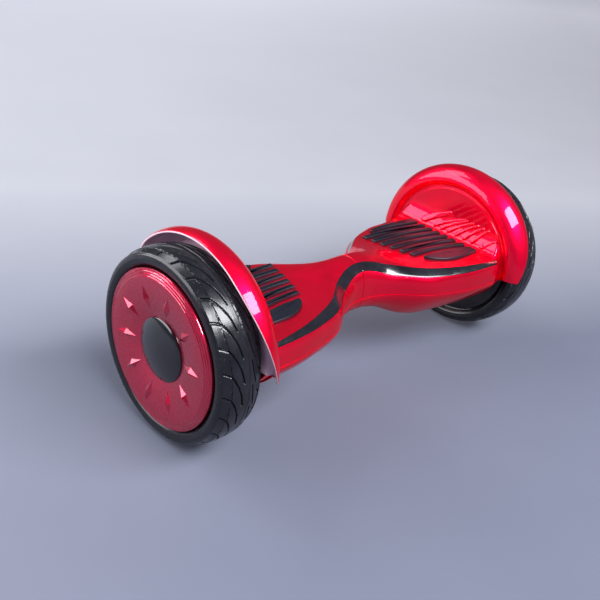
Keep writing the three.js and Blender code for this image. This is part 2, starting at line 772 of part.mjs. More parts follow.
function addHalf(side) {
  const sign = side === 'right' ? 1 : -1;
  const hand = (geometry) => (sign > 0 ? geometry : mirrored(geometry));
  const place = (parent) => (name, geometry, finish) => add(parent, `${side}_${name}`,
    hand(geometry), finish);

  const body = new THREE.Group();
  root.add(body);
  const onBody = place(body);
  onBody('top_shell', topShell(), 'paint');
  onBody('bottom_shell', bottomShell(), 'paint');
  onBody('fender', fender(), 'paint');
  onBody('rear_trim', trimStrip(true), 'gloss');
  onBody('front_trim', trimStrip(false), 'gloss');
  onBody('foot_pad', footPad(), 'pad');
  onBody('frame', sign > 0 ? frameHalf(24.3, -28) : frameHalf(PIVOT_RADIUS + FIT, 28), 'alloy');
  onBody('axle_clamp', axleClamp(), 'alloy');
  onBody('sensor_board', sensorBoard(), 'board');

  const wheel = new THREE.Group();
  wheel.position.set(sign * WHEEL_X, 0, AXLE_Z);
  root.add(wheel);
  const onWheel = place(wheel);
  onWheel('axle', axle(), 'steel');
  onWheel('stator', stator(), 'copper');
  onWheel('tyre', tyre(), 'tyre');
  onWheel('inner_tube', innerTube(), 'rubber');
  onWheel('rim', rim(), 'alloy');
  onWheel('magnet_ring', magnetRing(), 'steel');
  onWheel('hub_cover', hubCover(), 'hubPaint');
  onWheel('centre_cap', centreCap(), 'gloss');
  onWheel('inner_cover', innerCover(), 'alloy');
  onWheel('outer_bearing', ring(AXLE_RADIUS + 0.5, 17, 13, 20.5, 16), 'steel');
  onWheel('inner_bearing', ring(AXLE_RADIUS + 0.5, 17, -29, -20, 16), 'steel');
}

function addPivot() {
  const pivot = new THREE.Group();
  pivot.position.set(0, 0, PIVOT_Z);
  root.add(pivot);
  add(pivot, 'pivot_tube', pivotTube(), 'steel');
  add(pivot, 'inner_bushing', pivotBushing(10), 'nylon');
  add(pivot, 'outer_bushing', pivotBushing(44), 'nylon');
  add(pivot, 'lock_ring', lockRing(), 'steel');
}

function addElectronics() {
  add(root, 'battery_pack', mirrored(batteryPack()), 'wrap');
  add(root, 'control_board', controlBoard(), 'board');
  add(root, 'heat_sink', heatSink(), 'alloy');
  add(root, 'charge_socket', chargeSocket(), 'plastic');
  add(root, 'charge_socket_cover', socketCover(), 'rubber');
  add(root, 'button_bezel', mirrored(buttonBezel()), 'plastic');
  add(root, 'power_button', mirrored(powerButton()), 'plastic');
  add(root, 'battery_lead', cable([[-94, 28, 108], [-94, 28, 124], [-92, 18, 136],
    [-78, 7, 141], [-40, 6, 141], [30, 6, 141], [84, 6, 141]], 3, 16), 'rubber');
  add(root, 'left_motor_cable', cable([[-204.5, 0, 130], [-200, 0, 130], [-186, -26, 131],
    [-150, -33, 131], [-110, -28, 133], [-82, -8, 140], [-50, -6, 141], [20, -6, 141],
    [84, -6, 141]], 3, 22), 'rubber');
  add(root, 'right_motor_cable', cable([[204.5, 0, 130], [200, 0, 130], [186, -26, 131],
    [150, -33, 131], [112, -31, 131], [97, -28, 128], [94, -28, 120], [94, -28, 104]], 3, 16),
  'rubber');
}

addHalf('left');
addHalf('right');
addPivot();
addElectronics();

export default root;
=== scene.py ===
import json
import math

import bpy
import numpy as np
from mathutils import Matrix, Vector


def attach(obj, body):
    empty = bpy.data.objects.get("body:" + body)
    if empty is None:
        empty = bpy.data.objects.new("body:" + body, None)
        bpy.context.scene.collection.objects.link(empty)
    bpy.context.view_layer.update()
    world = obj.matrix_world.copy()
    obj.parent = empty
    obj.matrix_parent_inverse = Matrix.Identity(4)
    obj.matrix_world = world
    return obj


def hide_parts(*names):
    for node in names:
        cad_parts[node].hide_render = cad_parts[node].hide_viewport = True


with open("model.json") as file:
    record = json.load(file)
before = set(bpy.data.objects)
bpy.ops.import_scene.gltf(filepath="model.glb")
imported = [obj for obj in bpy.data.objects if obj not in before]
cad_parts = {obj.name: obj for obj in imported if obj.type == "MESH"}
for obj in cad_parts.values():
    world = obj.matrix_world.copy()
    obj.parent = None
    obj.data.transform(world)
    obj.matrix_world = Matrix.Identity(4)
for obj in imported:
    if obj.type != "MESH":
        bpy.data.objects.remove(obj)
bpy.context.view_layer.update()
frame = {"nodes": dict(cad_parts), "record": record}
nodes = frame["nodes"]

MM = 0.001


def new_object(name, data):
    made = bpy.data.objects.new(name, data)
    bpy.context.scene.collection.objects.link(made)
    return made


# ---- camera

CAMERA_AT = Vector((-0.8718, -0.7257, 0.7063))
CAMERA_AZIMUTH = math.radians(-46.72)
CAMERA_ELEVATION = math.radians(28.47)
CAMERA_ROLL = math.radians(8.0)
FOCAL_PIXELS = 850.6
FRAME_PIXELS = 600
SHIFT_PIXELS = (7.0, 3.2)
SENSOR_WIDTH = 36.0


def make_camera():
    az, el, roll = CAMERA_AZIMUTH, CAMERA_ELEVATION, CAMERA_ROLL
    back = Vector((math.sin(az) * math.cos(el), -math.cos(az) * math.cos(el), math.sin(el)))
    right = Vector((0, 0, 1)).cross(back).normalized()
    up = back.cross(right)
    across = math.cos(roll) * right + math.sin(roll) * up
    upward = -math.sin(roll) * right + math.cos(roll) * up
    data = bpy.data.cameras.new("camera")
    data.sensor_width = SENSOR_WIDTH
    data.lens = FOCAL_PIXELS / FRAME_PIXELS * SENSOR_WIDTH
    data.shift_x, data.shift_y = (pixels / FRAME_PIXELS for pixels in SHIFT_PIXELS)
    camera = new_object("camera", data)
    turn = Matrix((across, upward, back)).transposed().to_4x4()
    camera.matrix_world = Matrix.Translation(CAMERA_AT) @ turn
    bpy.context.scene.camera = camera


make_camera()
bpy.context.scene.view_settings.view_transform = "Standard"

# ---- dimensions

TYRE_RADIUS = 130.0
AXLE_Z = 130.0
WHEEL_X = 299.75
SEAM = 0.4
CASING_END = 234.0
PLATFORM_Z = 165.0
WALL = 3.0
BAND_DEPTH = 2.6
BAND_WALL = 5.6
CREASE_INSET = 10.0
FENDER_WALL = 252.5
FENDER_RADIUS = 145.8
FENDER_RIM = 286.6
LOWER_END = 249.5
LOWER_END_STEP = 241.0
LOWER_END_INSET = 2.5
PAD_TOP = 170.0
PAD_END = 231.5
RIB_WIDTH = 8.6
SLOT_GAP = 0.45
PIVOT_Z = 141.0
PIVOT_CLEAR_R = 20.6
SHARP_ANGLE = 35
CUTTER_ANGLE = 30

# Measures of the casing at each place along X, from the seam outwards.
STATION_X = [0, 25, 55, 95, 140, 185, 240]
STATIONS = {
    "halfWidth": [41, 43.5, 57, 87, 100, 109, 113.5],
    "crownZ": [183, 182, 176, 168, 165, 165, 165],
    "bandY": [19.5, 23, 36, 65.5, 84.5, 97, 106],
    "bandZ": [180.5, 178.5, 172, 169.5, 167.5, 166.5, 166],
    "lowY": [33.5, 37.5, 52.5, 82, 97, 106, 111],
    "lowZ": [172.5, 168, 160, 160.5, 159.5, 160, 160.5],
    "partingZ": [130, 130, 131, 133, 131, 130.5, 130.5],
    "keelZ": [99, 98, 91, 78, 72, 72, 72],
    "keel": [0.05, 0.06, 0.15, 0.38, 0.45, 0.45, 0.45],
    "round": [1, 1, 0.7, 0.2, 0, 0, 0],
    "rearShare": [0.9, 0.9, 0.95, 0.93, 0.93, 0.87, 0.87],
    "rearDrop": [8, 8, 5, 4, 3, 2.5, 2.5],
}


def measure(name, x):
    """A casing measure at x, on a smooth curve through the stations."""
    values, last = STATIONS[name], len(STATION_X) - 1
    i = 0
    while i < last - 1 and x > STATION_X[i + 1]:
        i += 1

    def slope(k):
        if k == 0:
            return 0.0
        n = min(k + 1, last)
        if k < last and (values[k] - values[k - 1]) * (values[n] - values[k]) <= 0:
            return 0.0
        return (values[n] - values[k - 1]) / (STATION_X[n] - STATION_X[k - 1])

    h = STATION_X[i + 1] - STATION_X[i]
    t = (x - STATION_X[i]) / h
    rise = values[i + 1] - values[i]
    a, b = slope(i) * h - rise, rise - slope(i + 1) * h
    return values[i] + rise * t + t * (1 - t) * (a * (1 - t) + b * t)


# ---- mesh helpers


class Solid:
    """Points in millimetres with faces; mark is the material slot of a face."""

    def __init__(self):
        self.points, self.faces, self.marks = [], [], []

    def add(self, points):
        start = len(self.points)
        self.points.extend(np.asarray(points, float).tolist())
        return start

    def face(self, corners, mark=0):
        self.faces.append(list(corners))
        self.marks.append(mark)

    def loft(self, rows, capped=True, wrap=False, marks=None):
        """Joins rows of points, each closed on itself; wrap joins the last row to the first."""
        count = len(rows[0])
        starts = [self.add(row) for row in rows]
        for a, b in zip(starts, starts[1:] + starts[:1] if wrap else starts[1:]):
            for i in range(count):
                j = (i + 1) % count
                self.face((a + i, a + j, b + j, b + i), marks[i] if marks else 0)
        if capped and not wrap:
            self.face([starts[0] + i for i in reversed(range(count))])
            self.face([starts[-1] + i for i in range(count)])
        return starts


def clean_mesh(name, solid, mirrored, angle):
    points = np.asarray(solid.points, float) * MM
    faces = solid.faces
    if mirrored:
        points[:, 0] *= -1
        faces = [f[::-1] for f in faces]
    mesh = bpy.data.meshes.new(name)
    mesh.from_pydata(points.tolist(), [], faces)
    mesh.polygons.foreach_set("material_index", solid.marks)
    mesh.polygons.foreach_set("use_smooth", [True] * len(faces))
    mesh.update()
    if signed_volume(mesh) < 0:
        mesh.flip_normals()
    mesh.set_sharp_from_angle(angle=math.radians(angle))
    return mesh


def signed_volume(mesh):
    mesh.calc_loop_triangles()
    tri = np.zeros(len(mesh.loop_triangles) * 3, int)
    mesh.loop_triangles.foreach_get("vertices", tri)
    co = np.zeros(len(mesh.vertices) * 3)
    mesh.vertices.foreach_get("co", co)
    p = co.reshape(-1, 3)[tri.reshape(-1, 3)]
    return float((p[:, 0] * np.cross(p[:, 1], p[:, 2])).sum() / 6)


def emit(name, solid, materials, body, replaces=(), mirrored=False, angle=SHARP_ANGLE):
    """Makes the piece, rides it on its CAD body and hides the CAD nodes it stands for."""
    mesh = clean_mesh(name, solid, mirrored, angle)
    for m in materials:
        mesh.materials.append(m)
    piece = new_object(name, mesh)
    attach(piece, body)
    if replaces:
        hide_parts(*replaces)
    return piece


def unit(v):
    return v / max(np.linalg.norm(v), 1e-9)


def bezier(corners, ts):
    a, b, c, d = (np.asarray(corner, float) for corner in corners)
    t = np.asarray(ts, float)[:, None]
    return (1 - t) ** 3 * a + 3 * t * (1 - t) ** 2 * b + 3 * t * t * (1 - t) * c + t**3 * d


def rounded(points, radii, steps, closed=False):
    """The polyline with each corner of a given radius turned into a short curve."""
    out, count = [], len(points)
    for i, (p, r) in enumerate(zip(points, radii)):
        if r <= 0 or (not closed and i in (0, count - 1)):
            out.append(np.asarray(p, float))
            continue
        p = np.asarray(p, float)
        a = np.asarray(points[i - 1], float) - p
        b = np.asarray(points[(i + 1) % count], float) - p
        d = min(r, 0.45 * np.linalg.norm(a), 0.45 * np.linalg.norm(b))
        q, s = p + unit(a) * d, p + unit(b) * d
        for k in range(steps + 1):
            t = k / steps
            out.append((1 - t) ** 2 * q + 2 * t * (1 - t) * p + t * t * s)
    return np.array(out)


def grown(outline, distance):
    """A closed outline moved outwards, or inwards by a negative distance."""
    p = np.asarray(outline, float)
    area = 0.5 * np.sum(p[:, 0] * np.roll(p[:, 1], -1) - np.roll(p[:, 0], -1) * p[:, 1])
    sense = distance if area > 0 else -distance
    back = p - np.roll(p, 1, axis=0)
    ahead = np.roll(p, -1, axis=0) - p
    back /= np.maximum(np.linalg.norm(back, axis=1), 1e-9)[:, None]
    ahead /= np.maximum(np.linalg.norm(ahead, axis=1), 1e-9)[:, None]
    bisector = np.c_[back[:, 1] + ahead[:, 1], -back[:, 0] - ahead[:, 0]]
    dot = np.clip((back * ahead).sum(1), -0.5, 1)
    return p + bisector * (sense / (1 + dot))[:, None]


def inset_open(points, distances):
    """An open outline moved to its inner side, by one distance or by one for each point."""
    p = np.asarray(points, float)
    along = np.empty_like(p)
    along[1:-1] = p[2:] - p[:-2]
    along[0], along[-1] = p[1] - p[0], p[-1] - p[-2]
    along /= np.linalg.norm(along, axis=1)[:, None]
    return p + np.c_[along[:, 1], -along[:, 0]] * np.reshape(distances, (-1, 1))


def at_x(x, outline):
    return np.c_[np.full(len(outline), x), outline]


def at_z(z, outline):
    return np.c_[outline, np.full(len(outline), z)]


def revolve(solid, profile, segments, centre=(0, AXLE_Z)):
    """Turns a profile of (x, radius) about the line along X through centre. It closes on itself
    unless it starts and ends on that line."""
    turns = np.arange(segments) * (2 * math.pi / segments)
    rows = [at_x(x, np.c_[centre[0] - r * np.cos(turns), centre[1] + r * np.sin(turns)])
            for x, r in profile if r > 1e-6]
    on_axis = profile[0][1] <= 1e-6
    starts = solid.loft(rows, capped=False, wrap=not on_axis)
    if on_axis:
        for s, x, turn in ((starts[0], profile[0][0], -1), (starts[-1], profile[-1][0], 1)):
            hub = solid.add([(x, centre[0], centre[1])])
            for i in range(segments):
                j = (i + 1) % segments
                solid.face((s + i, s + j, hub)[::turn])


# ---- materials


class Paint:
    """One material, and the nodes that its look is built from."""

    def __init__(self, name, **sockets):
        self.material = bpy.data.materials.new(name)
        self.material.use_nodes = True
        self.tree = self.material.node_tree
        self.shader = self.tree.nodes["Principled BSDF"]
        for key, value in sockets.items():
            socket = key.replace("_", " ").title().replace("Ior", "IOR")
            self.shader.inputs[socket].default_value = value
        self.where = self.node("ShaderNodeTexCoord").outputs["Object"]

    def node(self, kind, **settings):
        made = self.tree.nodes.new(kind)
        for key, value in settings.items():
            if key in made.inputs:
                made.inputs[key].default_value = value
            else:
                setattr(made, key, value)
        return made

    def link(self, a, b):
        self.tree.links.new(a, b)

    def noise(self, scale, detail=4.0, rough=0.55, stretch=None, distortion=0.0):
        made = self.node("ShaderNodeTexNoise", Scale=scale, Detail=detail, Roughness=rough,
                         Distortion=distortion)
        self.link(self.stretched(stretch), made.inputs["Vector"])
        return made.outputs["Fac"]

    def cells(self, scale, output="Distance"):
        made = self.node("ShaderNodeTexVoronoi", Scale=scale)
        self.link(self.where, made.inputs["Vector"])
        return made.outputs[output]

    def stretched(self, stretch):
        if stretch is None:
            return self.where
        made = self.node("ShaderNodeMapping")
        made.inputs["Scale"].default_value = stretch
        self.link(self.where, made.inputs["Vector"])
        return made.outputs["Vector"]

    def ramp(self, value, stops):
        made = self.node("ShaderNodeValToRGB")
        ramp = made.color_ramp
        while len(ramp.elements) < len(stops):
            ramp.elements.new(0.5)
        for element, (at, colour) in zip(ramp.elements, stops):
            element.position = at
            element.color = (*colour, 1)
        self.link(value, made.inputs["Fac"])
        return made.outputs["Color"]

    def span(self, value, low, high, start=0.3, end=0.7):
        limits = {"From Min": start, "From Max": end, "To Min": low, "To Max": high}
        made = self.node("ShaderNodeMapRange", **limits)
        self.link(value, made.inputs["Value"])
        return made.outputs["Result"]

    def maths(self, operation, a, b):
        made = self.node("ShaderNodeMath", operation=operation)
        for at, value in enumerate((a, b)):
            if isinstance(value, (int, float)):
                made.inputs[at].default_value = value
            else:
                self.link(value, made.inputs[at])
        return made.outputs[0]

    def mix(self, factor, a, b):
        made = self.node("ShaderNodeMix", data_type="RGBA")
        for key, value in (("Factor", factor), ("A", a), ("B", b)):
            socket = next(s for s in made.inputs if s.name == key and s.enabled)
            if isinstance(value, (int, float)):
                socket.default_value = value
            elif isinstance(value, tuple):
                socket.default_value = (*value, 1)
            else:
                self.link(value, socket)
        return next(s for s in made.outputs if s.enabled)

    def bump(self, height, strength, distance):
        made = self.node("ShaderNodeBump", Strength=strength, Distance=distance)
        self.link(height, made.inputs["Height"])
        return made.outputs["Normal"]

    def set(self, socket, value):
        self.link(value, self.shader.inputs[socket])

    def finish(self, colour, roughness, normal):
        self.set("Base Color", colour)
        self.set("Roughness", roughness)
        self.set("Normal", normal)
        return self.material


def dust_mask(p, scale, size):
    """1 on scattered specks, 0 elsewhere."""
    near = p.cells(scale)
    patchy = p.noise(9.0, 2.0)
    specks = p.maths("LESS_THAN", near, size)
    return p.maths("MULTIPLY", specks, p.span(patchy, 0.0, 1.0, 0.45, 0.6))


def scratch_height(p, scale):
    """Fine hairlines in two directions."""
    one = p.noise(scale, 2.0, 0.5, stretch=(1.0, 14.0, 6.0), distortion=0.6)
    two = p.noise(scale, 2.0, 0.5, stretch=(11.0, 1.0, 5.0), distortion=0.8)
    return p.maths("ADD", p.maths("GREATER_THAN", one, 0.71), p.maths("GREATER_THAN", two, 0.72))


def red_lacquer():
    p = Paint("red_lacquer", metallic=0.85, coat_weight=0.5, coat_roughness=0.03, coat_ior=1.5,
              ior=1.45, specular_tint=(1.0, 0.2, 0.35, 1))
    depth = p.noise(7.0, 3.0)
    colour = p.ramp(depth, [(0.3, (0.86, 0.0, 0.026)), (0.7, (0.95, 0.0, 0.038))])
    dust = dust_mask(p, 130.0, 0.05)
    p.set("Base Color", p.mix(p.maths("MULTIPLY", dust, 0.35), colour, (0.75, 0.45, 0.5)))
    rough = p.span(p.noise(42.0, 5.0), 0.31, 0.39)
    p.set("Roughness", p.maths("ADD", rough, p.maths("MULTIPLY", dust, 0.2)))
    flakes = p.cells(2600.0, "Color")
    split = p.node("ShaderNodeSeparateColor")
    p.link(flakes, split.inputs[0])
    p.set("Normal", p.bump(split.outputs[0], 0.06, 0.0004))
    peel = p.maths("ADD", p.noise(260.0, 2.0), p.maths("MULTIPLY", scratch_height(p, 60.0), 0.25))
    p.set("Coat Normal", p.bump(peel, 0.05, 0.0003))
    return p.material


# The inside's own dull pink tone, painted much paler than the plastic is, so that it stands in for
# the light that reaches inside the fender.
def dull_inside():
    p = Paint("dull_red_plastic", ior=1.45)
    blotches = p.noise(26.0, 6.0, 0.65)
    return p.finish(p.ramp(blotches, [(0.3, (0.80, 0.50, 0.64)), (0.72, (0.88, 0.60, 0.72))]),
                    p.span(blotches, 0.5, 0.75), p.bump(p.noise(900.0, 3.0), 0.25, 0.0004))


# A pale colour for the fender's rim edge: a painted highlight, the thin bright line that the edge
# catches.
def edge_highlight():
    p = Paint("painted_edge_highlight", ior=1.45)
    blotches = p.noise(60.0, 5.0, 0.6)
    return p.finish(p.ramp(blotches, [(0.3, (0.78, 0.50, 0.58)), (0.7, (0.90, 0.68, 0.74))]),
                    p.span(blotches, 0.3, 0.5), p.bump(p.noise(500.0, 3.0), 0.15, 0.0003))


def satin_red():
    p = Paint("satin_red", metallic=0.8, coat_weight=1.0, coat_roughness=0.04, coat_ior=1.6,
              ior=1.45, specular_tint=(1.0, 0.4, 0.5, 1))
    depth = p.noise(11.0, 3.0)
    dust = dust_mask(p, 150.0, 0.06)
    colour = p.ramp(depth, [(0.3, (0.50, 0.002, 0.036)), (0.7, (0.56, 0.004, 0.048))])
    return p.finish(p.mix(p.maths("MULTIPLY", dust, 0.2), colour, (0.7, 0.5, 0.52)),
                    p.span(p.noise(60.0, 6.0), 0.24, 0.32),
                    p.bump(p.noise(90.0, 2.0), 0.01, 0.0003))


def gloss_black():
    p = Paint("gloss_black_trim", coat_weight=0.4, coat_roughness=0.02, ior=1.5)
    smear = p.noise(34.0, 6.0, 0.65, distortion=0.4)
    dust = dust_mask(p, 170.0, 0.07)
    colour = p.ramp(smear, [(0.35, (0.004, 0.004, 0.006)), (0.7, (0.009, 0.009, 0.013))])
    skin = p.maths("ADD", p.noise(300.0, 3.0), scratch_height(p, 55.0))
    return p.finish(p.mix(p.maths("MULTIPLY", dust, 0.4), colour, (0.3, 0.3, 0.33)),
                    p.span(smear, 0.10, 0.24, 0.35, 0.75), p.bump(skin, 0.05, 0.0003))


def rubber(name, low, high, rough, grain, strength, specular=0.5):
    p = Paint(name, ior=1.5, specular_ior_level=specular)
    bloom = p.noise(22.0, 6.0, 0.6, distortion=0.3)
    dust = dust_mask(p, 210.0, 0.09)
    colour = p.ramp(bloom, [(0.3, low), (0.72, high)])
    pebbles = p.maths("MULTIPLY", p.noise(grain * 0.2, 3.0), 0.6)
    skin = p.maths("ADD", p.noise(grain, 4.0, 0.6), pebbles)
    return p.finish(p.mix(p.maths("MULTIPLY", dust, 0.3), colour, (0.32, 0.33, 0.36)),
                    p.span(p.noise(65.0, 5.0), *rough), p.bump(skin, strength, 0.0004))


def metal(name, low, high, rough, grain, stretch=None, strength=0.15, metallic=1.0):
    p = Paint(name, metallic=metallic, ior=1.5)
    stain = p.noise(30.0, 5.0, 0.6)
    return p.finish(p.ramp(stain, [(0.3, low), (0.7, high)]),
                    p.span(p.noise(90.0, 4.0), *rough),
                    p.bump(p.noise(grain, 4.0, 0.6, stretch=stretch), strength, 0.0004))


def winding():
    p = Paint("copper_winding", metallic=0.9, ior=1.5)
    wire = p.node("ShaderNodeTexWave", Scale=260.0, Distortion=1.2, Detail=1.0)
    wire.bands_direction = "X"
    p.link(p.where, wire.inputs["Vector"])
    copper = [(0.1, (0.14, 0.045, 0.015)), (0.7, (0.62, 0.25, 0.09))]
    return p.finish(p.ramp(wire.outputs["Fac"], copper),
                    p.span(p.noise(80.0), 0.28, 0.45), p.bump(wire.outputs["Fac"], 0.6, 0.0005))


def board():
    p = Paint("circuit_board", ior=1.5)
    tracks = p.node("ShaderNodeTexBrick", Scale=95.0, Color1=(0.012, 0.12, 0.05, 1),
                    Color2=(0.016, 0.15, 0.065, 1), Mortar=(0.03, 0.22, 0.09, 1))
    p.link(p.where, tracks.inputs["Vector"])
    pads = p.maths("LESS_THAN", p.cells(260.0), 0.16)
    return p.finish(p.mix(pads, tracks.outputs["Color"], (0.55, 0.52, 0.4)),
                    p.span(p.noise(70.0), 0.32, 0.5),
                    p.bump(p.maths("ADD", tracks.outputs["Fac"], pads), 0.3, 0.0003))


def wrap():
    p = Paint("battery_wrap", ior=1.5)
    crease = p.noise(28.0, 5.0, 0.6, distortion=0.8)
    return p.finish(p.ramp(crease, [(0.3, (0.03, 0.10, 0.30)), (0.7, (0.05, 0.16, 0.42))]),
                    p.span(crease, 0.18, 0.4), p.bump(crease, 0.5, 0.001))


RED = red_lacquer()
INSIDE = dull_inside()
EDGE_HIGHLIGHT = edge_highlight()
SATIN = satin_red()
BLACK = gloss_black()
PAD = rubber("pad_rubber", (0.004, 0.005, 0.009), (0.008, 0.009, 0.015), (0.3, 0.42), 1400.0,
             0.18, 0.3)
TYRE = rubber("tyre_rubber", (0.004, 0.004, 0.006), (0.009, 0.009, 0.012), (0.18, 0.3), 700.0,
              0.12, 0.45)
SOFT = rubber("soft_rubber", (0.016, 0.016, 0.018), (0.026, 0.026, 0.028), (0.5, 0.7), 900.0, 0.3)
PLASTIC = rubber("black_plastic", (0.022, 0.023, 0.026), (0.034, 0.035, 0.038), (0.38, 0.55),
                 1100.0, 0.35)
ALLOY = metal("cast_alloy", (0.50, 0.51, 0.53), (0.66, 0.67, 0.69), (0.34, 0.52), 480.0,
              strength=0.25)
# The rim and the motor cover: their near-black colour is partly the parts' own dark finish and
# partly painted shade for the shadow they sit in under the casing.
BLACK_AND_SHADE_ALLOY = metal("black_alloy_and_painted_shade", (0.012, 0.012, 0.014), (0.022, 0.022, 0.026), (0.34, 0.5),
               480.0, strength=0.25, metallic=0.2)
STEEL = metal("turned_steel", (0.42, 0.43, 0.45), (0.56, 0.57, 0.60), (0.2, 0.36), 220.0,
              stretch=(9.0, 1.0, 1.0))
NYLON = metal("nylon", (0.66, 0.63, 0.54), (0.78, 0.75, 0.66), (0.4, 0.55), 600.0, metallic=0.0)
COPPER = winding()
BOARD = board()
WRAP = wrap()

SLOT_MATERIALS = {
    "red_paint": RED, "red_satin": SATIN, "gloss_black": BLACK, "pad_rubber": PAD,
    "tyre_rubber": TYRE, "soft_rubber": SOFT, "cast_alloy": ALLOY, "steel": STEEL,
    "copper_winding": COPPER, "circuit_board": BOARD, "black_plastic": PLASTIC,
    "battery_wrap": WRAP, "nylon": NYLON,
}


def dress_frame():
    """Gives every carried-over CAD node the material of its slot."""
    for part in frame["record"]["subparts"]:
        node = nodes[part["node"]]
        for held in node.material_slots:
            held.material = SLOT_MATERIALS[part["material_slot"]]


dress_frame()

# ---- casing


def band_frame(x, rear):
    """Upper and lower edge of the trim band, the way down it and the way into the casing, all as
    (y, z). The rear band is lower and steeper than the front one."""
    share = measure("rearShare", x) if rear else 1.0
    drop = measure("rearDrop", x) if rear else 0.0
    top = np.array((measure("bandY", x) * share, measure("bandZ", x) - drop))
    low = np.array((measure("lowY", x) * share, measure("lowZ", x) - drop))
    if rear:
        top += (0.5 * (low[0] - top[0]), 0.25 * (low[1] - top[1]))
        low[1] -= 4.5
    down = unit(low - top)
    return top, low, down, np.array((down[1], -down[0]))


def half_width(x, rear):
    return measure("halfWidth", x) * (measure("rearShare", x) if rear else 1.0)


def crease_point(top, crown):
    """Where the deck turns down to the trim band."""
    inset = min(CREASE_INSET, 0.35 * top[0])
    return np.array((top[0] - inset, crown + 0.5 * (top[1] - crown)))


def side_curve(x, rear, low, gap, count):
    """The bulging side, from the trim band down to the given gap above the parting line."""
    w, z = half_width(x, rear), measure("partingZ", x)
    height = low[1] - z
    bulge = low[0] + 0.8 * (w - low[0]) + 1.5
    corners = [low, (bulge, low[1] - 0.25 * height), (w, z + 0.45 * height), (w, z + gap)]
    return bezier(corners, np.linspace(0, 1, count))[1:]


def upper_half(x, rear):
    """Outer skin of the upper casing on one side, from the crown down to the parting line."""
    top, low, _, inward = band_frame(x, rear)
    crown = measure("crownZ", x)
    crease = crease_point(top, crown)
    t = np.linspace(0, 1, 14)[:-1]
    dome = np.c_[crease[0] * t, crown + (crease[1] - crown) * t**2.2]
    side = side_curve(x, rear, low, 0.35, 17)
    deep = inward * (BAND_DEPTH - 0.2)
    line = [*dome, crease, top, top + deep, low + deep, low, *side]
    radii = [0] * len(dome) + [4.0, 0.8, 0, 0, 0.8] + [0] * len(side)
    outer = rounded(line, radii, 3)
    return np.vstack([outer, (outer[-1][0] - 0.9, measure("partingZ", x) + 0.05)])


def inner_half(x, rear):
    """Inner skin of the upper casing on one side."""
    top, low, _, _ = band_frame(x, rear)
    crown = measure("crownZ", x)
    middle = (0.5 * top[0], crown + 0.18 * (top[1] - crown))
    side = side_curve(x, rear, low, 0, 6)
    line = np.array([(0, crown), middle, crease_point(top, crown), top, low, *side])
    moved = inset_open(line, [WALL] * 3 + [BAND_WALL] * 2 + [WALL] * len(side))
    moved[0][0] = 0
    moved[-1][1] = measure("partingZ", x) + 0.05
    return moved


def both_sides(rear, front):
    """One line over the crown, from the rear half's foot to the front half's."""
    return np.vstack([rear[::-1], np.c_[-front[1:, 0], front[1:, 1]]])


def casing_rows():
    """Where along X the sections are, close together at the two rounded ends."""
    middle = np.linspace(2.0, CASING_END - 1.6, 112)
    return [SEAM, SEAM + 0.35, *middle, CASING_END - 0.5, CASING_END]


def end_inset(x):
    """How far the skin is pulled in near a section's ends, for the small edge radius."""
    return {SEAM: 0.55, SEAM + 0.35: 0.12, CASING_END - 0.5: 0.12, CASING_END: 0.55}.get(x, 0.0)


def upper_casing():
    solid, rows = Solid(), []
    for x in casing_rows():
        halves = []
        for rear in (True, False):
            outer = upper_half(x, rear)
            if end_inset(x):
                outer = inset_open(outer, end_inset(x))
                outer[0][0] = 0
            halves.append(outer)
        outer = both_sides(*halves)
        inner = both_sides(inner_half(x, True), inner_half(x, False))
        rows.append(at_x(x, np.vstack([outer, inner[::-1]])))
    solid.loft(rows)
    return solid


def trim_strip(rear):
    solid, rows = Solid(), []
    across = np.array([0, 0.03, 0.09, 0.2, 0.35, 0.5, 0.65, 0.8, 0.91, 0.97, 1])
    lift = np.array([-0.45, -0.1, 0.08, 0.2, 0.32, 0.36, 0.32, 0.2, 0.08, -0.1, -0.45])
    edge_gap, thickness = 0.25, 2.1
    for x in casing_rows():
        x = min(x, CASING_END - 0.3)
        top, low, down, inward = band_frame(x, rear)
        a, b = top + down * edge_gap, low - down * edge_gap
        face = a + (b - a) * across[:, None] - inward * (lift - end_inset(x) * 0.6)[:, None]
        ring = np.vstack([face, b + inward * thickness, a + inward * thickness])
        if not rear:
            ring = np.c_[-ring[:, 0], ring[:, 1]]
        rows.append(at_x(x, ring))
    solid.loft(rows)
    return solid


def lower_half(x, rear, wall):
    """Skin of the lower casing on one side, moved in by wall, from the parting line to the keel."""
    w, z = half_width(x, rear), measure("partingZ", x)
    depth = z - measure("keelZ", x)
    keel = measure("keel", x) * w
    rnd = measure("round", x)
    drop = (0.31 + 0.25 * rnd) * depth
    run = (0.1 + 0.45 * rnd) * w
    curve = bezier([(w, z - 0.75), (w, z - drop), (keel + run, z - depth), (keel, z - depth)],
                   np.linspace(0, 1, 30))
    flat = [(keel * t, z - depth) for t in (0.66, 0.33, 0.0)]
    line = np.vstack([curve, flat])
    if wall:
        line = inset_open(line, wall)
        line[-1][0] = 0
    return line


def lower_casing():
    """It runs on past the upper casing as a narrower tongue under the fender."""
    solid, rows = Solid(), []
    for x in [*casing_rows(), CASING_END + 0.3, LOWER_END_STEP, LOWER_END - 0.8, LOWER_END]:
        place = min(x, CASING_END)
        past = x > CASING_END
        inset = LOWER_END_INSET + (0.6 if x == LOWER_END else 0) if past else end_inset(x)
        rim = AXLE_Z - 0.3 if past else measure("partingZ", place) - 0.25
        outers, inners = [], []
        for rear in (True, False):
            outer = lower_half(place, rear, inset)
            inner = lower_half(place, rear, (inset if past else 0) + WALL)
            w = outer[0][0]
            lip = [(w - 0.9, rim), (w + (0 if past else 0.2), rim - 0.45)]
            inner[0][1] = rim
            outers.append(np.vstack([lip, outer])[::-1])
            inners.append(inner[::-1])
        rows.append(at_x(x, np.vstack([both_sides(*outers), both_sides(*inners)[::-1]])))
    solid.loft(rows)
    return solid


# ---- foot pads


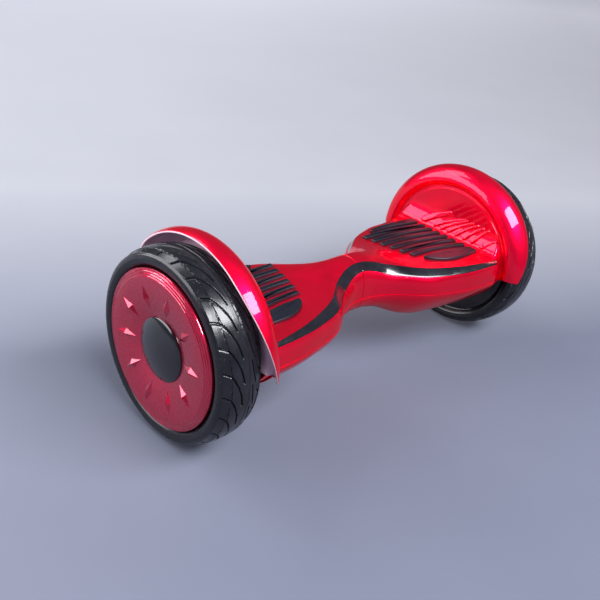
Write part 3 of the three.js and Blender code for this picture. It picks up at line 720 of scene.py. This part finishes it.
def rib_outline(inner_x, front_y, sweep):
    """A rib that bends forward towards the fender, rounder at its inner end."""
    xs = np.linspace(inner_x, PAD_END, 34)
    shift = front_y - sweep * np.maximum(0, (xs - 130) / (PAD_END - 130)) ** 2
    line = np.vstack([np.c_[xs, shift], np.c_[xs, shift + RIB_WIDTH][::-1]])
    straight = [0.0] * (len(xs) - 2)
    return rounded(line, [3.8, *straight, 1.8, 1.8, *straight, 3.8], 5, closed=True)


# Each rib's inner end in x, its front edge in y and how far it bends forward.
RIBS = [(98.6, 49.7, 14), (101.7, 34.2, 14), (104.9, 18.6, 14.4), (109.7, 2.6, 14.4),
        (114.8, -13.4, 15), (121.7, -29.4, 17.5)]
FRONT_LEAF = [(132, -39.5), (134.5, -47), (142, -55.5), (155, -64), (168, -69), (185, -71.5),
              (205, -71.5), (PAD_END, -69.5), (PAD_END, -54.5), (205, -47.5), (170, -41)]
REAR_LEAF = [(126, 66), (165, 64.3), (200, 59), (PAD_END, 51.8), (PAD_END, 68), (200, 72),
             (165, 73), (133, 71.5)]


def leaf_outline(corners):
    radii = [2.0 if x == PAD_END else 9.0 for x, _ in corners]
    return rounded(corners, radii, 6, closed=True)


def pad_outlines():
    return [leaf_outline(REAR_LEAF), *[rib_outline(*r) for r in RIBS], leaf_outline(FRONT_LEAF)]


def foot_pad():
    """A slab below the deck, with the ribs and leaves standing up from it through their slots."""
    solid = Solid()
    corners = [(108, 62), (108, -26), (135, -50), (150, -60), (229, -68), (229, 66), (130, 68)]
    slab = rounded(corners, [3] * len(corners), 3, closed=True)
    solid.loft([at_z(z, slab) for z in (153.0, 158.9)])
    edge = [(158.0, 0), (168.2, 0), (168.5, 0.02), (169.1, 0.2), (169.6, 0.6), (169.9, 1.15),
            (PAD_TOP, 1.8), (PAD_TOP, 2.2)]
    for outline in pad_outlines():
        solid.loft([at_z(z, grown(outline, -inset)) for z, inset in edge])
    return solid


def slot_cutter():
    """What is cut from the deck for the pad: its outlines with a small gap all round."""
    solid = Solid()
    for outline in pad_outlines():
        ring = grown(outline, SLOT_GAP)
        solid.loft([at_z(z, ring) for z in (157.0, 175.0)])
    return solid


def cut_with(piece, cutter_solid, mirrored):
    cutter = new_object("cutter", clean_mesh("cutter", cutter_solid, mirrored, CUTTER_ANGLE))
    modifier = piece.modifiers.new("slots", "BOOLEAN")
    modifier.operation, modifier.solver, modifier.object = "DIFFERENCE", "EXACT", cutter
    graph = bpy.context.evaluated_depsgraph_get()
    made = bpy.data.meshes.new_from_object(piece.evaluated_get(graph))
    piece.modifiers.clear()
    old, piece.data = piece.data, made
    made.name = old.name + "_cut"
    bpy.data.meshes.remove(old)
    bpy.data.objects.remove(cutter)
    made.polygons.foreach_set("use_smooth", [True] * len(made.polygons))
    made.set_sharp_from_angle(angle=math.radians(SHARP_ANGLE))


# ---- fender

COVE_HEIGHT = 35.0
FOOT_EDGE_R = 104.0
TUBE_X = 272.0
TUBE_RUN = 26.0
TUBE_BASE_R = 121.0
RIM_LOW = 256.0
FOOT_DEPTH = FENDER_WALL - CASING_END - 0.3
FENDER_THICKNESS = 2.6
AXLE_HOLE_R = 18


def cove_x(z):
    """The fender's inboard wall, which sweeps in a quarter circle to meet the platform."""
    up = min(max((z - PLATFORM_Z) / COVE_HEIGHT, 0.0), 1.0)
    return FENDER_WALL - FOOT_DEPTH * (1 - math.sqrt(1 - (1 - up) ** 2))


def rim_x(degrees):
    """The fender's outboard edge, furthest out at the top of the wheel."""
    share = min(1.0, min(degrees, 180 - degrees) / 58)
    return RIM_LOW + (FENDER_RIM - RIM_LOW) * math.sin(share * math.pi / 2)


def tube_point(way, inset):
    """The rounded tube of the fender: inboard side at 0, crest at 1, rim at 1.5."""
    if way <= 1:
        a = way * math.pi / 2
        return (TUBE_X - (TUBE_RUN - inset) * math.cos(a),
                TUBE_BASE_R + (FENDER_RADIUS - TUBE_BASE_R - inset) * math.sin(a))
    past = (way - 1) * 2
    return (TUBE_X + (FENDER_RIM - TUBE_X) * past, FENDER_RADIUS - inset - 3 * past**2)


def tube_way(x, inset):
    """The way along the tube at which it reaches x."""
    if x > TUBE_X:
        return 1 + 0.5 * (x - TUBE_X) / (FENDER_RIM - TUBE_X)
    return math.acos((TUBE_X - x) / (TUBE_RUN - inset)) / (math.pi / 2)


def fender_outline(degrees):
    """Closed (x, radius) outline, and how many of its points come before the inner skin."""
    sine = math.sin(math.radians(degrees))

    def face(r):
        return cove_x(AXLE_Z + r * sine)

    edge = rim_x(degrees)
    thick = FENDER_THICKNESS
    outer = [(face(r), r) for r in np.linspace(AXLE_HOLE_R, FOOT_EDGE_R, 44)]
    lead = face(FOOT_EDGE_R)
    for t in (0.25, 0.5, 0.75, 1.0):
        ease = t * t * (3 - 2 * t)
        outer.append((lead + (FENDER_WALL - lead) * ease, FOOT_EDGE_R + 4.0 * t))
    groove = [(0.0, 108.6), (0.25, 109.0), (1.5, 109.6), (1.75, 110.0), (1.75, 113.4),
              (1.3, 114.6), (0.2, 115.7), (-1.6, 116.9), (-4.0, 118.3)]
    outer += [(FENDER_WALL + x, r) for x, r in groove]
    full = tube_way(edge - 0.7, 0)
    outer += [tube_point(full * s, 0) for s in np.linspace(0.03, 1, 22)]
    tip = tube_point(tube_way(edge, 0), 0)[1]
    low = tube_point(tube_way(edge, thick), thick)[1]
    outer += [(edge - 0.2, tip - 0.15), (edge, tip - 0.6), (edge, low + 0.6), (edge - 0.6, low)]
    facing = len(outer) - 2
    full = tube_way(edge - 1.2, thick)
    inner = [tube_point(full * s, thick) for s in np.linspace(1, 0.08, 16)]
    inner += [(FENDER_WALL + x, r) for x, r in ((2.6, 119.0), (3.6, 117), (4, 112), (3, 107))]
    inner += [(face(r) + WALL, r) for r in np.linspace(101, AXLE_HOLE_R, 14)]
    return outer + inner, facing


def fender():
    """Slots: 0 is the lacquered skin, 1 the dull inside, painted paler to stand for the light
    inside the fender, and 2 the pale edge between them, a painted highlight along the rim.
    """
    solid, rows = Solid(), []
    for degrees in np.linspace(1.5, 178.5, 237):
        outline, facing = fender_outline(degrees)
        a = math.radians(degrees)
        rows.append([(x, -r * math.cos(a), AXLE_Z + r * math.sin(a)) for x, r in outline])
    count = len(rows[0])
    marks = [0 if i < facing - 2 else 2 if i < facing + 1 else 1 for i in range(count)]
    starts = solid.loft(rows, capped=False, marks=marks)
    for start, flip in ((starts[0], True), (starts[-1], False)):
        strip_cap(solid, start, facing, count, flip)
    return solid


def strip_cap(solid, start, half, count, flip):
    """Closes a folded outline: points up to half run out along the skin, and the rest run back."""
    a, b = 0, count - 1
    while b - a > 1:
        out_share = a / half
        back_share = (count - 1 - b) / (count - 1 - half)
        if (out_share <= back_share and a + 1 < b) or b - 1 <= a:
            corners, a = (a, a + 1, b), a + 1
        else:
            corners, b = (a, b - 1, b), b - 1
        corners = [start + c for c in corners]
        solid.face(corners[::-1] if flip else corners)


def cove_normal(z):
    slope = (cove_x(z + 0.3) - cove_x(z - 0.3)) / 0.6
    return unit(np.array((-1.0, 0.0, slope)))


# Each ridge's start and end in y, and its width.
RIDGES = [(-49.2, -72.0, 3.7), (-33.1, -61.3, 3.7), (-16.3, -50.5, 3.7), (-0.3, -40.4, 3.7),
          (13.7, -31.0, 3.7), (28.1, -25.2, 3.9), (54.0, 4.0, 7.0)]


def cove_ridges():
    """The moulded red ridges that carry the pad's ribs on up the cove."""
    solid = Solid()
    for y0, y1, width in RIDGES:
        add_ridge(solid, (y0, 168.4), (y1, 198.5), width, 0.66, 4.6)
    add_ridge(solid, (-68.0, 168.2), (-90.0, 188.0), 6.5, 0.2, 3.4)
    return solid


def add_ridge(solid, start, end, width, end_share, height):
    """One ridge, tall and blunt where it faces the pad, that sinks into the cove at its far end."""
    steps, sides = 44, 24
    ts = np.linspace(0, 1, steps) ** 1.25
    path = []
    for t in ts:
        z = start[1] + (end[1] - start[1]) * t**0.74
        path.append(np.array((cove_x(z), start[0] + (end[0] - start[0]) * t, z)))
    rows = []
    for i, (t, p) in enumerate(zip(ts, path)):
        along = unit(path[min(i + 1, steps - 1)] - path[max(i - 1, 0)])
        normal = cove_normal(max(p[2], PLATFORM_Z + 1.2))
        across = unit(np.cross(along, normal))
        nose = math.sqrt(max(0.03, 1 - (1 - min(t / 0.1, 1)) ** 2))
        tail = math.sqrt(max(0.03, 1 - (1 - min((1 - t) / 0.05, 1)) ** 2))
        w = width * (1 - (1 - end_share) * t**0.6) * nose * tail
        h = (height - (height - 1.6) * t**0.8) * nose**0.6 * tail
        ring = []
        for k in range(sides):
            a = 2 * math.pi * k / sides
            c, n = math.cos(a), math.sin(a)
            side = math.copysign(abs(c) ** 0.6, c)
            up = h * n**0.7 if n > 0 else 1.2 * n
            ring.append(p + across * w * side + normal * (up - 0.4))
        rows.append(np.array(ring))
    solid.loft(rows)


# ---- wheel

TILES = 25
TILE_COLUMNS = 54
TILE = 360.0 / TILES
# Lines of the tread as (mm across the tyre, degrees along it).
GROOVE = [(30.5, -0.1), (28.3, 0.0), (26.0, 0.25), (22.4, 1.2), (18.0, 2.6), (14.3, 5.1),
          (12.0, 7.2), (9.0, 9.7), (7.6, 11.3), (5.5, 13.4), (3.7, 16.2), (2.4, 18.6), (0.7, 22.6)]
SHOULDER_LINE = [(19.0, 4.9), (18.4, 10.0), (17.5, 16.9)]
CENTRE_U = -7.5
HAIRS = 46
DIAMONDS = 10
DIAMOND_START = 6.4
COVER_SCREWS = 8
COVER_SCREW_R = 78


def tread_depth(u, along):
    """Depth of the tread pattern below the tyre's surface, at u across and along degrees."""
    inner = u < CENTRE_U
    du = np.where(inner, CENTRE_U + (CENTRE_U - u) / 0.62, u)
    da = np.where(inner, along + 5.0, -along)
    depth = np.zeros_like(u)

    def stroke(points, width, amount, shift):
        """Depth of one cut line, with the distance to it and the side of it."""
        fine = resample(points, 70)
        best = np.full(u.shape, 1e9)
        side = np.zeros(u.shape)
        for a, b in zip(fine, fine[1:]):
            best, side = nearer(du, da - shift, a, b, best, side)
        return amount * (1 - smooth(best, 0.45 * width, 0.95 * width)), best, side

    for shift in np.arange(-2, 3) * TILE:
        cut, best, side = stroke(GROOVE, 1.35, 2.7, shift)
        depth = np.maximum(depth, cut)
        lip = 0.55 * (1 - smooth(best, 0.9, 3.4)) * (side > 0) * smooth(du, 13.0, 18.0)
        depth = np.maximum(depth, lip)
        depth = np.maximum(depth, stroke(SHOULDER_LINE, 0.75, 1.0, shift)[0])
    wave = CENTRE_U + 0.5 * np.sin(np.radians(along * TILES))
    centre = 0.8 * (1 - smooth(np.abs(u - wave), 0.35, 0.95))
    return np.maximum(depth, centre)


def resample(points, count):
    p = np.asarray(points, float)
    s = np.r_[0, np.cumsum(np.hypot(*np.diff(p * (1, 2.27), axis=0).T))]
    t = np.linspace(0, s[-1], count)
    return np.c_[np.interp(t, s, p[:, 0]), np.interp(t, s, p[:, 1])]


def smooth(value, low, high):
    t = np.clip((value - low) / (high - low), 0, 1)
    return t * t * (3 - 2 * t)


def nearer(u, along, a, b, best, side):
    """Distance in millimetres to the segment a-b where that is shorter than best."""
    arc = math.radians(1) * TYRE_RADIUS
    ax, ay, bx, by = a[0], a[1] * arc, b[0], b[1] * arc
    px, py = u, along * arc
    length = (bx - ax) ** 2 + (by - ay) ** 2
    t = np.clip(((px - ax) * (bx - ax) + (py - ay) * (by - ay)) / length, 0, 1)
    d = np.hypot(px - ax - t * (bx - ax), py - ay - t * (by - ay))
    cross = (bx - ax) * (py - ay) - (by - ay) * (px - ax)
    closer = d < best
    return np.where(closer, d, best), np.where(closer, -cross, side)


def tyre_profile():
    """Outer surface as (u, radius, tread share), from the inboard bead over the crown outwards."""
    wall = [(23.4, 97.5), (23.6, 103.5), (25.6, 106.3), (28.2, 108.3), (30.0, 111.0),
            (30.9, 112.6), (30.75, 113.6), (31.3, 114.8), (31.6, 117.0), (31.5, 118.6),
            (31.0, 119.3), (31.1, 120.4), (30.4, 121.9), (29.75, 122.4), (29.5, 123.2),
            (28.9, 123.9)]
    half = [(u, r, 0) for u, r in wall] + [(28.5, 124.3, 0.3), (28.1, 124.1, 0.7)]
    band = [(u, np.interp(u, [19.4, 23.5, 27.8], [127.75, 125.65, 123.75]), 1)
            for u in np.linspace(27.8, 19.4, 17)]
    crown = [(u, np.interp(u, [0, 5, 10, 15, 18.9], [130, 129.9, 129.6, 129.0, 128.3]), 1)
             for u in np.linspace(18.9, 0, 38)]
    side = half + band + crown
    left = [(-u, r, s) for u, r, s in side[:-1]]
    return left + side[::-1]


def tyre():
    solid = Solid()
    profile = tyre_profile()
    u = np.array([p[0] for p in profile])
    r = np.array([p[1] for p in profile])
    share = np.array([p[2] for p in profile])
    along = (np.arange(TILE_COLUMNS) + 0.5) * TILE / TILE_COLUMNS
    grid_u, grid_a = np.meshgrid(u, along)
    depth = tread_depth(grid_u, grid_a) * share
    # The tiny ramp keeps the steps in u from being zero.
    slope = np.gradient(r, u + np.linspace(0, 1e-6, len(u)))
    lean = np.clip(-slope, -3, 3)
    norm = np.hypot(1, lean)
    nu, nr = lean / norm, 1 / norm
    inner_side = [(22.0, 99.5), (20.5, 104.0), (26.0, 112.0), (22.0, 119.5), (10.0, 121.5)]
    inner = np.array(inner_side + [(-across, radius) for across, radius in inner_side[::-1]])
    rows = []
    for tile in range(TILES):
        for c in range(TILE_COLUMNS):
            angle = math.radians(tile * TILE + along[c])
            uu = np.r_[u - nu * depth[c], inner[:, 0]]
            rr = np.r_[r - nr * depth[c], inner[:, 1]]
            rows.append(np.c_[uu + WHEEL_X, -rr * math.cos(angle), AXLE_Z + rr * math.sin(angle)])
    solid.loft(rows, wrap=True)
    add_hairs(solid)
    return solid


def add_hairs(solid):
    """The thin rubber whiskers that a new tyre keeps from its mould."""
    rng = np.random.default_rng(7)
    for i in range(HAIRS):
        a = math.radians(i * 360 / HAIRS + rng.uniform(-3, 3))
        u, r = [(31.2, 120.0), (27.5, 124.2), (30.4, 111.5)][i % 3]
        out = np.array((0.9, 0.0, 0.0))
        radial = np.array((0.0, -math.cos(a), math.sin(a)))
        base = np.array((WHEEL_X + u - 0.4, 0, AXLE_Z)) + radial * r
        lean = unit(out + radial * rng.uniform(0.1, 0.5)
                    + np.array((0, 0.4, 0.3)) * rng.uniform(-1, 1))
        side = unit(np.cross(lean, (0.1, 0.7, 0.7)))
        other = np.cross(lean, side)
        length = rng.uniform(1.6, 3.2)
        rows = []
        for t, w in ((0, 0.28), (0.6, 0.22), (1, 0.1)):
            centre = base + lean * length * t
            rows.append([centre + (side * math.cos(b) + other * math.sin(b)) * w
                         for b in np.radians([0, 90, 180, 270])])
        solid.loft([np.array(row) for row in rows])


def hub_disc():
    solid = Solid()
    profile = [(323.4, 40.2), (325.9, 40.2), (326.6, 41.2), (328.3, 47.5), (330.3, 54.0),
               (332.0, 63.0), (333.5, 73.0), (334.6, 82.0), (335.0, 88.0), (335.05, 93.0),
               (335.0, 96.2), (334.6, 97.0), (333.9, 97.6), (333.75, 98.2), (334.0, 98.8),
               (334.05, 99.6), (333.7, 100.2), (332.9, 100.8), (332.75, 101.4), (333.0, 102.0),
               (332.95, 102.8), (332.5, 103.3), (331.6, 103.9), (331.45, 104.5), (331.6, 105.1),
               (331.3, 105.9), (330.5, 106.3), (328.4, 106.35), (327.6, 105.8), (327.5, 96.0),
               (330.6, 86.0), (331.0, 78.0), (328.0, 60.0), (325.0, 48.0)]
    revolve(solid, profile, 224)
    for i in range(DIAMONDS):
        add_diamond(solid, math.radians(DIAMOND_START + 360 / DIAMONDS * i))
    return solid


def add_diamond(solid, angle):
    """A raised four sided gem, long along the radius, with crisp but not knife-sharp ridges."""
    radial = np.array((0.0, -math.cos(angle), math.sin(angle)))
    across = np.array((0.0, math.sin(angle), math.cos(angle)))
    out = np.array((1.0, 0.0, 0.0))
    middle = np.array((0, 0, AXLE_Z))

    def at(r, side, x):
        return middle + radial * r + across * side + out * x

    base = [at(51.4, 0, 328.6), at(68.3, 6.4, 331.4), at(85.2, 0, 333.4), at(68.3, -6.4, 331.4)]
    rim = [at(51.7, 0, 329.75), at(68.3, 6.2, 332.95), at(84.9, 0, 334.95), at(68.3, -6.2, 332.95)]
    top = at(68.3, 0, 336.95)
    start = solid.add([*base, *rim, top])
    for i in range(4):
        j = (i + 1) % 4
        solid.face((start + i, start + j, start + 4 + j, start + 4 + i))
        solid.face((start + 4 + i, start + 4 + j, start + 8))
    solid.face((start + 3, start + 2, start + 1, start))


def hub_cap():
    solid = Solid()
    ts = np.linspace(0, 1, 26)
    dome = [(328.6 + 8.4 * (1 - t**2) ** 0.85, 41.9 * t) for t in ts]
    profile = [*dome[:-1], (328.9, 41.7), (328.2, 42.6), (327.3, 42.75), (326.9, 42.3),
               (326.8, 39.6), (323.8, 39.3), (323.6, 0.0)]
    revolve(solid, profile, 160)
    return solid


def rim():
    solid = Solid()
    profile = [(-26.4, 78.5), (19, 78.5), (19, 22), (13, 22), (13, 17.3), (21, 17.3), (24.5, 60),
               (26.8, 92), (27.2, 101.5), (26.6, 103.0), (24.2, 103.2), (23.6, 102.5),
               (23.4, 96.7), (-23.4, 96.7), (-23.6, 102.5), (-24.2, 103.2), (-26.0, 103.2),
               (-26.5, 102.4)]
    revolve(solid, [(WHEEL_X + x, r) for x, r in profile], 128)
    return solid


def inner_cover():
    solid = Solid()
    profile = [(-30.5, 17.4), (-19.5, 17.4), (-19.5, 22), (-26.8, 24), (-26.8, 97), (-29.4, 97),
               (-30.0, 96.2), (-30.0, 88), (-29.4, 86.5), (-29.6, 62), (-30.4, 60), (-30.5, 30),
               (-31.0, 28), (-31.0, 19)]
    head = [(-31.6, 0), (-31.6, 3.4), (-31.2, 3.9), (-29.0, 3.9), (-29.0, 0)]
    revolve(solid, [(WHEEL_X + x, r) for x, r in profile], 128)
    for i in range(COVER_SCREWS):
        a = math.radians(360 / COVER_SCREWS * (i + 0.5))
        centre = (-COVER_SCREW_R * math.cos(a), AXLE_Z + COVER_SCREW_R * math.sin(a))
        revolve(solid, [(WHEEL_X + x, r) for x, r in head], 20, centre)
    return solid


# ---- assembling the pieces


def build_side(side):
    mirrored = side == "left"
    half, wheel, pad = f"{side}_half", f"{side}_wheel", f"{side}_pad"

    def put(name, solid, materials, body, replaces=(), angle=SHARP_ANGLE):
        return emit(f"{side}_{name}", solid, materials, body,
                    [f"{side}_{n}" for n in replaces], mirrored, angle)

    upper = put("upper_casing", upper_casing(), [RED], half, ["top_shell"])
    cut_with(upper, slot_cutter(), mirrored)
    put("lower_casing", lower_casing(), [RED], half, ["bottom_shell"])
    put("rear_trim_strip", trim_strip(True), [BLACK], half, ["rear_trim"])
    put("front_trim_strip", trim_strip(False), [BLACK], half, ["front_trim"])
    put("arch", fender(), [RED, INSIDE, EDGE_HIGHLIGHT], half, ["fender"])
    put("cove_ridges", cove_ridges(), [RED], half)
    put("ribbed_pad", foot_pad(), [PAD], pad, ["foot_pad"])
    put("treaded_tyre", tyre(), [TYRE], wheel, ["tyre"], 50)
    put("hub_disc", hub_disc(), [SATIN], wheel, ["hub_cover"], 12)
    put("hub_cap", hub_cap(), [BLACK], wheel, ["centre_cap"])
    put("wheel_rim", rim(), [BLACK_AND_SHADE_ALLOY], wheel, ["rim"])
    put("motor_cover", inner_cover(), [BLACK_AND_SHADE_ALLOY], wheel, ["inner_cover"])


def seam_gasket():
    """A thin ring round the pivot tube that shuts the gap between the two halves."""
    solid = Solid()
    rear, front = (np.vstack([inner_half(SEAM, back), lower_half(SEAM, back, WALL)[1:]])
                   for back in (True, False))
    loop = np.vstack([rear, np.c_[-front[:, 0], front[:, 1]]])
    angle = np.arctan2(loop[:, 1] - PIVOT_Z, loop[:, 0])
    turns = np.linspace(-math.pi, math.pi, 96, endpoint=False)
    reach = np.hypot(loop[:, 0], loop[:, 1] - PIVOT_Z)
    outer = np.interp(turns, angle, reach, period=2 * math.pi)
    half = 0.12
    corners = ((-half, outer), (half, outer), (half, PIVOT_CLEAR_R), (-half, PIVOT_CLEAR_R))
    solid.loft([at_x(x, np.c_[r * np.cos(turns), PIVOT_Z + r * np.sin(turns)]) for x, r in corners],
               wrap=True)
    return solid


build_side("left")
build_side("right")
emit("seam_gasket", seam_gasket(), [SOFT], "left_half")

# ---- studio

# Lengths here are in metres.
FLOOR_HALF = 14.0
AWAY = (0.48, 0.88)
RIGHT = (0.68, -0.73)
LIGHT_COLOUR = (0.93, 0.95, 1.0)
LIGHT_AIM = Vector((0, 0, 0.12))
WORLD_COLOUR = (0.62, 0.66, 0.80, 1)
WORLD_STRENGTH = 0.21


def make_floor():
    """A sheet of paper with painted light: its colour is paler to the left and far away, and a
    faint glow grows outwards and far away and is dimmed to the right as painted shade.
    """
    h = FLOOR_HALF
    mesh = bpy.data.meshes.new("floor")
    mesh.from_pydata([(-h, -h, 0), (h, -h, 0), (h, h, 0), (-h, h, 0)], [], [(0, 1, 2, 3)])
    p = Paint("studio_paper", ior=1.45, specular_ior_level=0.15)
    mottle = p.noise(3.0, 6.0, 0.6)
    # Painted light: the colour is paler to the left and far away, where the floor is lit brighter.
    near = p.ramp(mottle, [(0.3, (0.084, 0.091, 0.122)), (0.7, (0.092, 0.099, 0.131))])
    left = p.ramp(mottle, [(0.3, (0.158, 0.166, 0.205)), (0.7, (0.168, 0.176, 0.216))])
    far = p.ramp(mottle, [(0.3, (0.17, 0.172, 0.188)), (0.7, (0.185, 0.187, 0.202))])

    def along(direction, start, end):
        """0 to 1 as the floor runs from start to end in a direction."""
        place = p.node("ShaderNodeVectorMath", operation="DOT_PRODUCT")
        p.link(p.where, place.inputs[0])
        place.inputs[1].default_value = (*direction, 0.0)
        return p.span(place.outputs["Value"], 0.0, 1.0, start, end)

    away = along(AWAY, 0.05, 0.7)
    reach = p.node("ShaderNodeVectorMath", operation="LENGTH")
    p.link(p.where, reach.inputs[0])
    spread = p.span(reach.outputs["Value"], 0.0, 1.0, 0.9, 3.0)
    # Painted light: the floor glows more outwards and far away, and the glow is dimmed to the right
    # as painted shade.
    glow = p.mix(spread, (0.03, 0.032, 0.046), (0.12, 0.126, 0.155))
    glow = p.mix(away, glow, (0.30, 0.305, 0.345))
    glow = p.mix(along(AWAY, 0.8, 3.6), glow, (0.66, 0.67, 0.76))
    glow = p.mix(along(RIGHT, -0.6, 1.2), glow, p.mix(0.28, glow, (0.0, 0.0, 0.0)))
    p.set("Base Color", p.mix(away, p.mix(along(RIGHT, 0.0, -0.9), near, left), far))
    horizon = p.span(reach.outputs["Value"], 0.0, 1.0, 4.5, 10.0)
    p.set("Emission Color", p.mix(horizon, glow, (0.13, 0.139, 0.168)))
    p.material.cycles.emission_sampling = "NONE"
    p.shader.inputs["Emission Strength"].default_value = 1.0
    p.set("Roughness", p.span(mottle, 0.6, 0.7))
    p.set("Normal", p.bump(p.noise(700.0, 3.0), 0.1, 0.0005))
    mesh.materials.append(p.material)
    new_object("floor", mesh)


def soft_box(name, azimuth, elevation, distance, spread, radiance):
    """A rectangular light. Azimuth 0 is +Y and 90 is +X; spread is its size in degrees."""
    az, el = math.radians(azimuth), math.radians(elevation)
    toward = Vector((math.sin(az) * math.cos(el), math.cos(az) * math.cos(el), math.sin(el)))
    data = bpy.data.lights.new(name, "AREA")
    data.shape = "RECTANGLE"
    data.color = LIGHT_COLOUR
    data.size, data.size_y = (2 * distance * math.tan(math.radians(a) / 2) for a in spread)
    data.energy = radiance * math.pi * data.size * data.size_y
    light = new_object(name, data)
    light.location = LIGHT_AIM + toward * distance
    light.rotation_mode = "QUATERNION"
    light.rotation_quaternion = (-toward).to_track_quat("-Z", "Y")


def make_studio():
    make_floor()
    world = bpy.data.worlds.new("studio")
    world.use_nodes = True
    background = world.node_tree.nodes["Background"]
    background.inputs["Color"].default_value = WORLD_COLOUR
    background.inputs["Strength"].default_value = WORLD_STRENGTH
    bpy.context.scene.world = world
    soft_box("front", 176, 51, 2.4, (58, 20), 27.0)
    soft_box("back_left", -48, 25, 2.8, (58, 32), 6.0)
    soft_box("back", -20, 50, 2.4, (26, 22), 6.0)


make_studio()
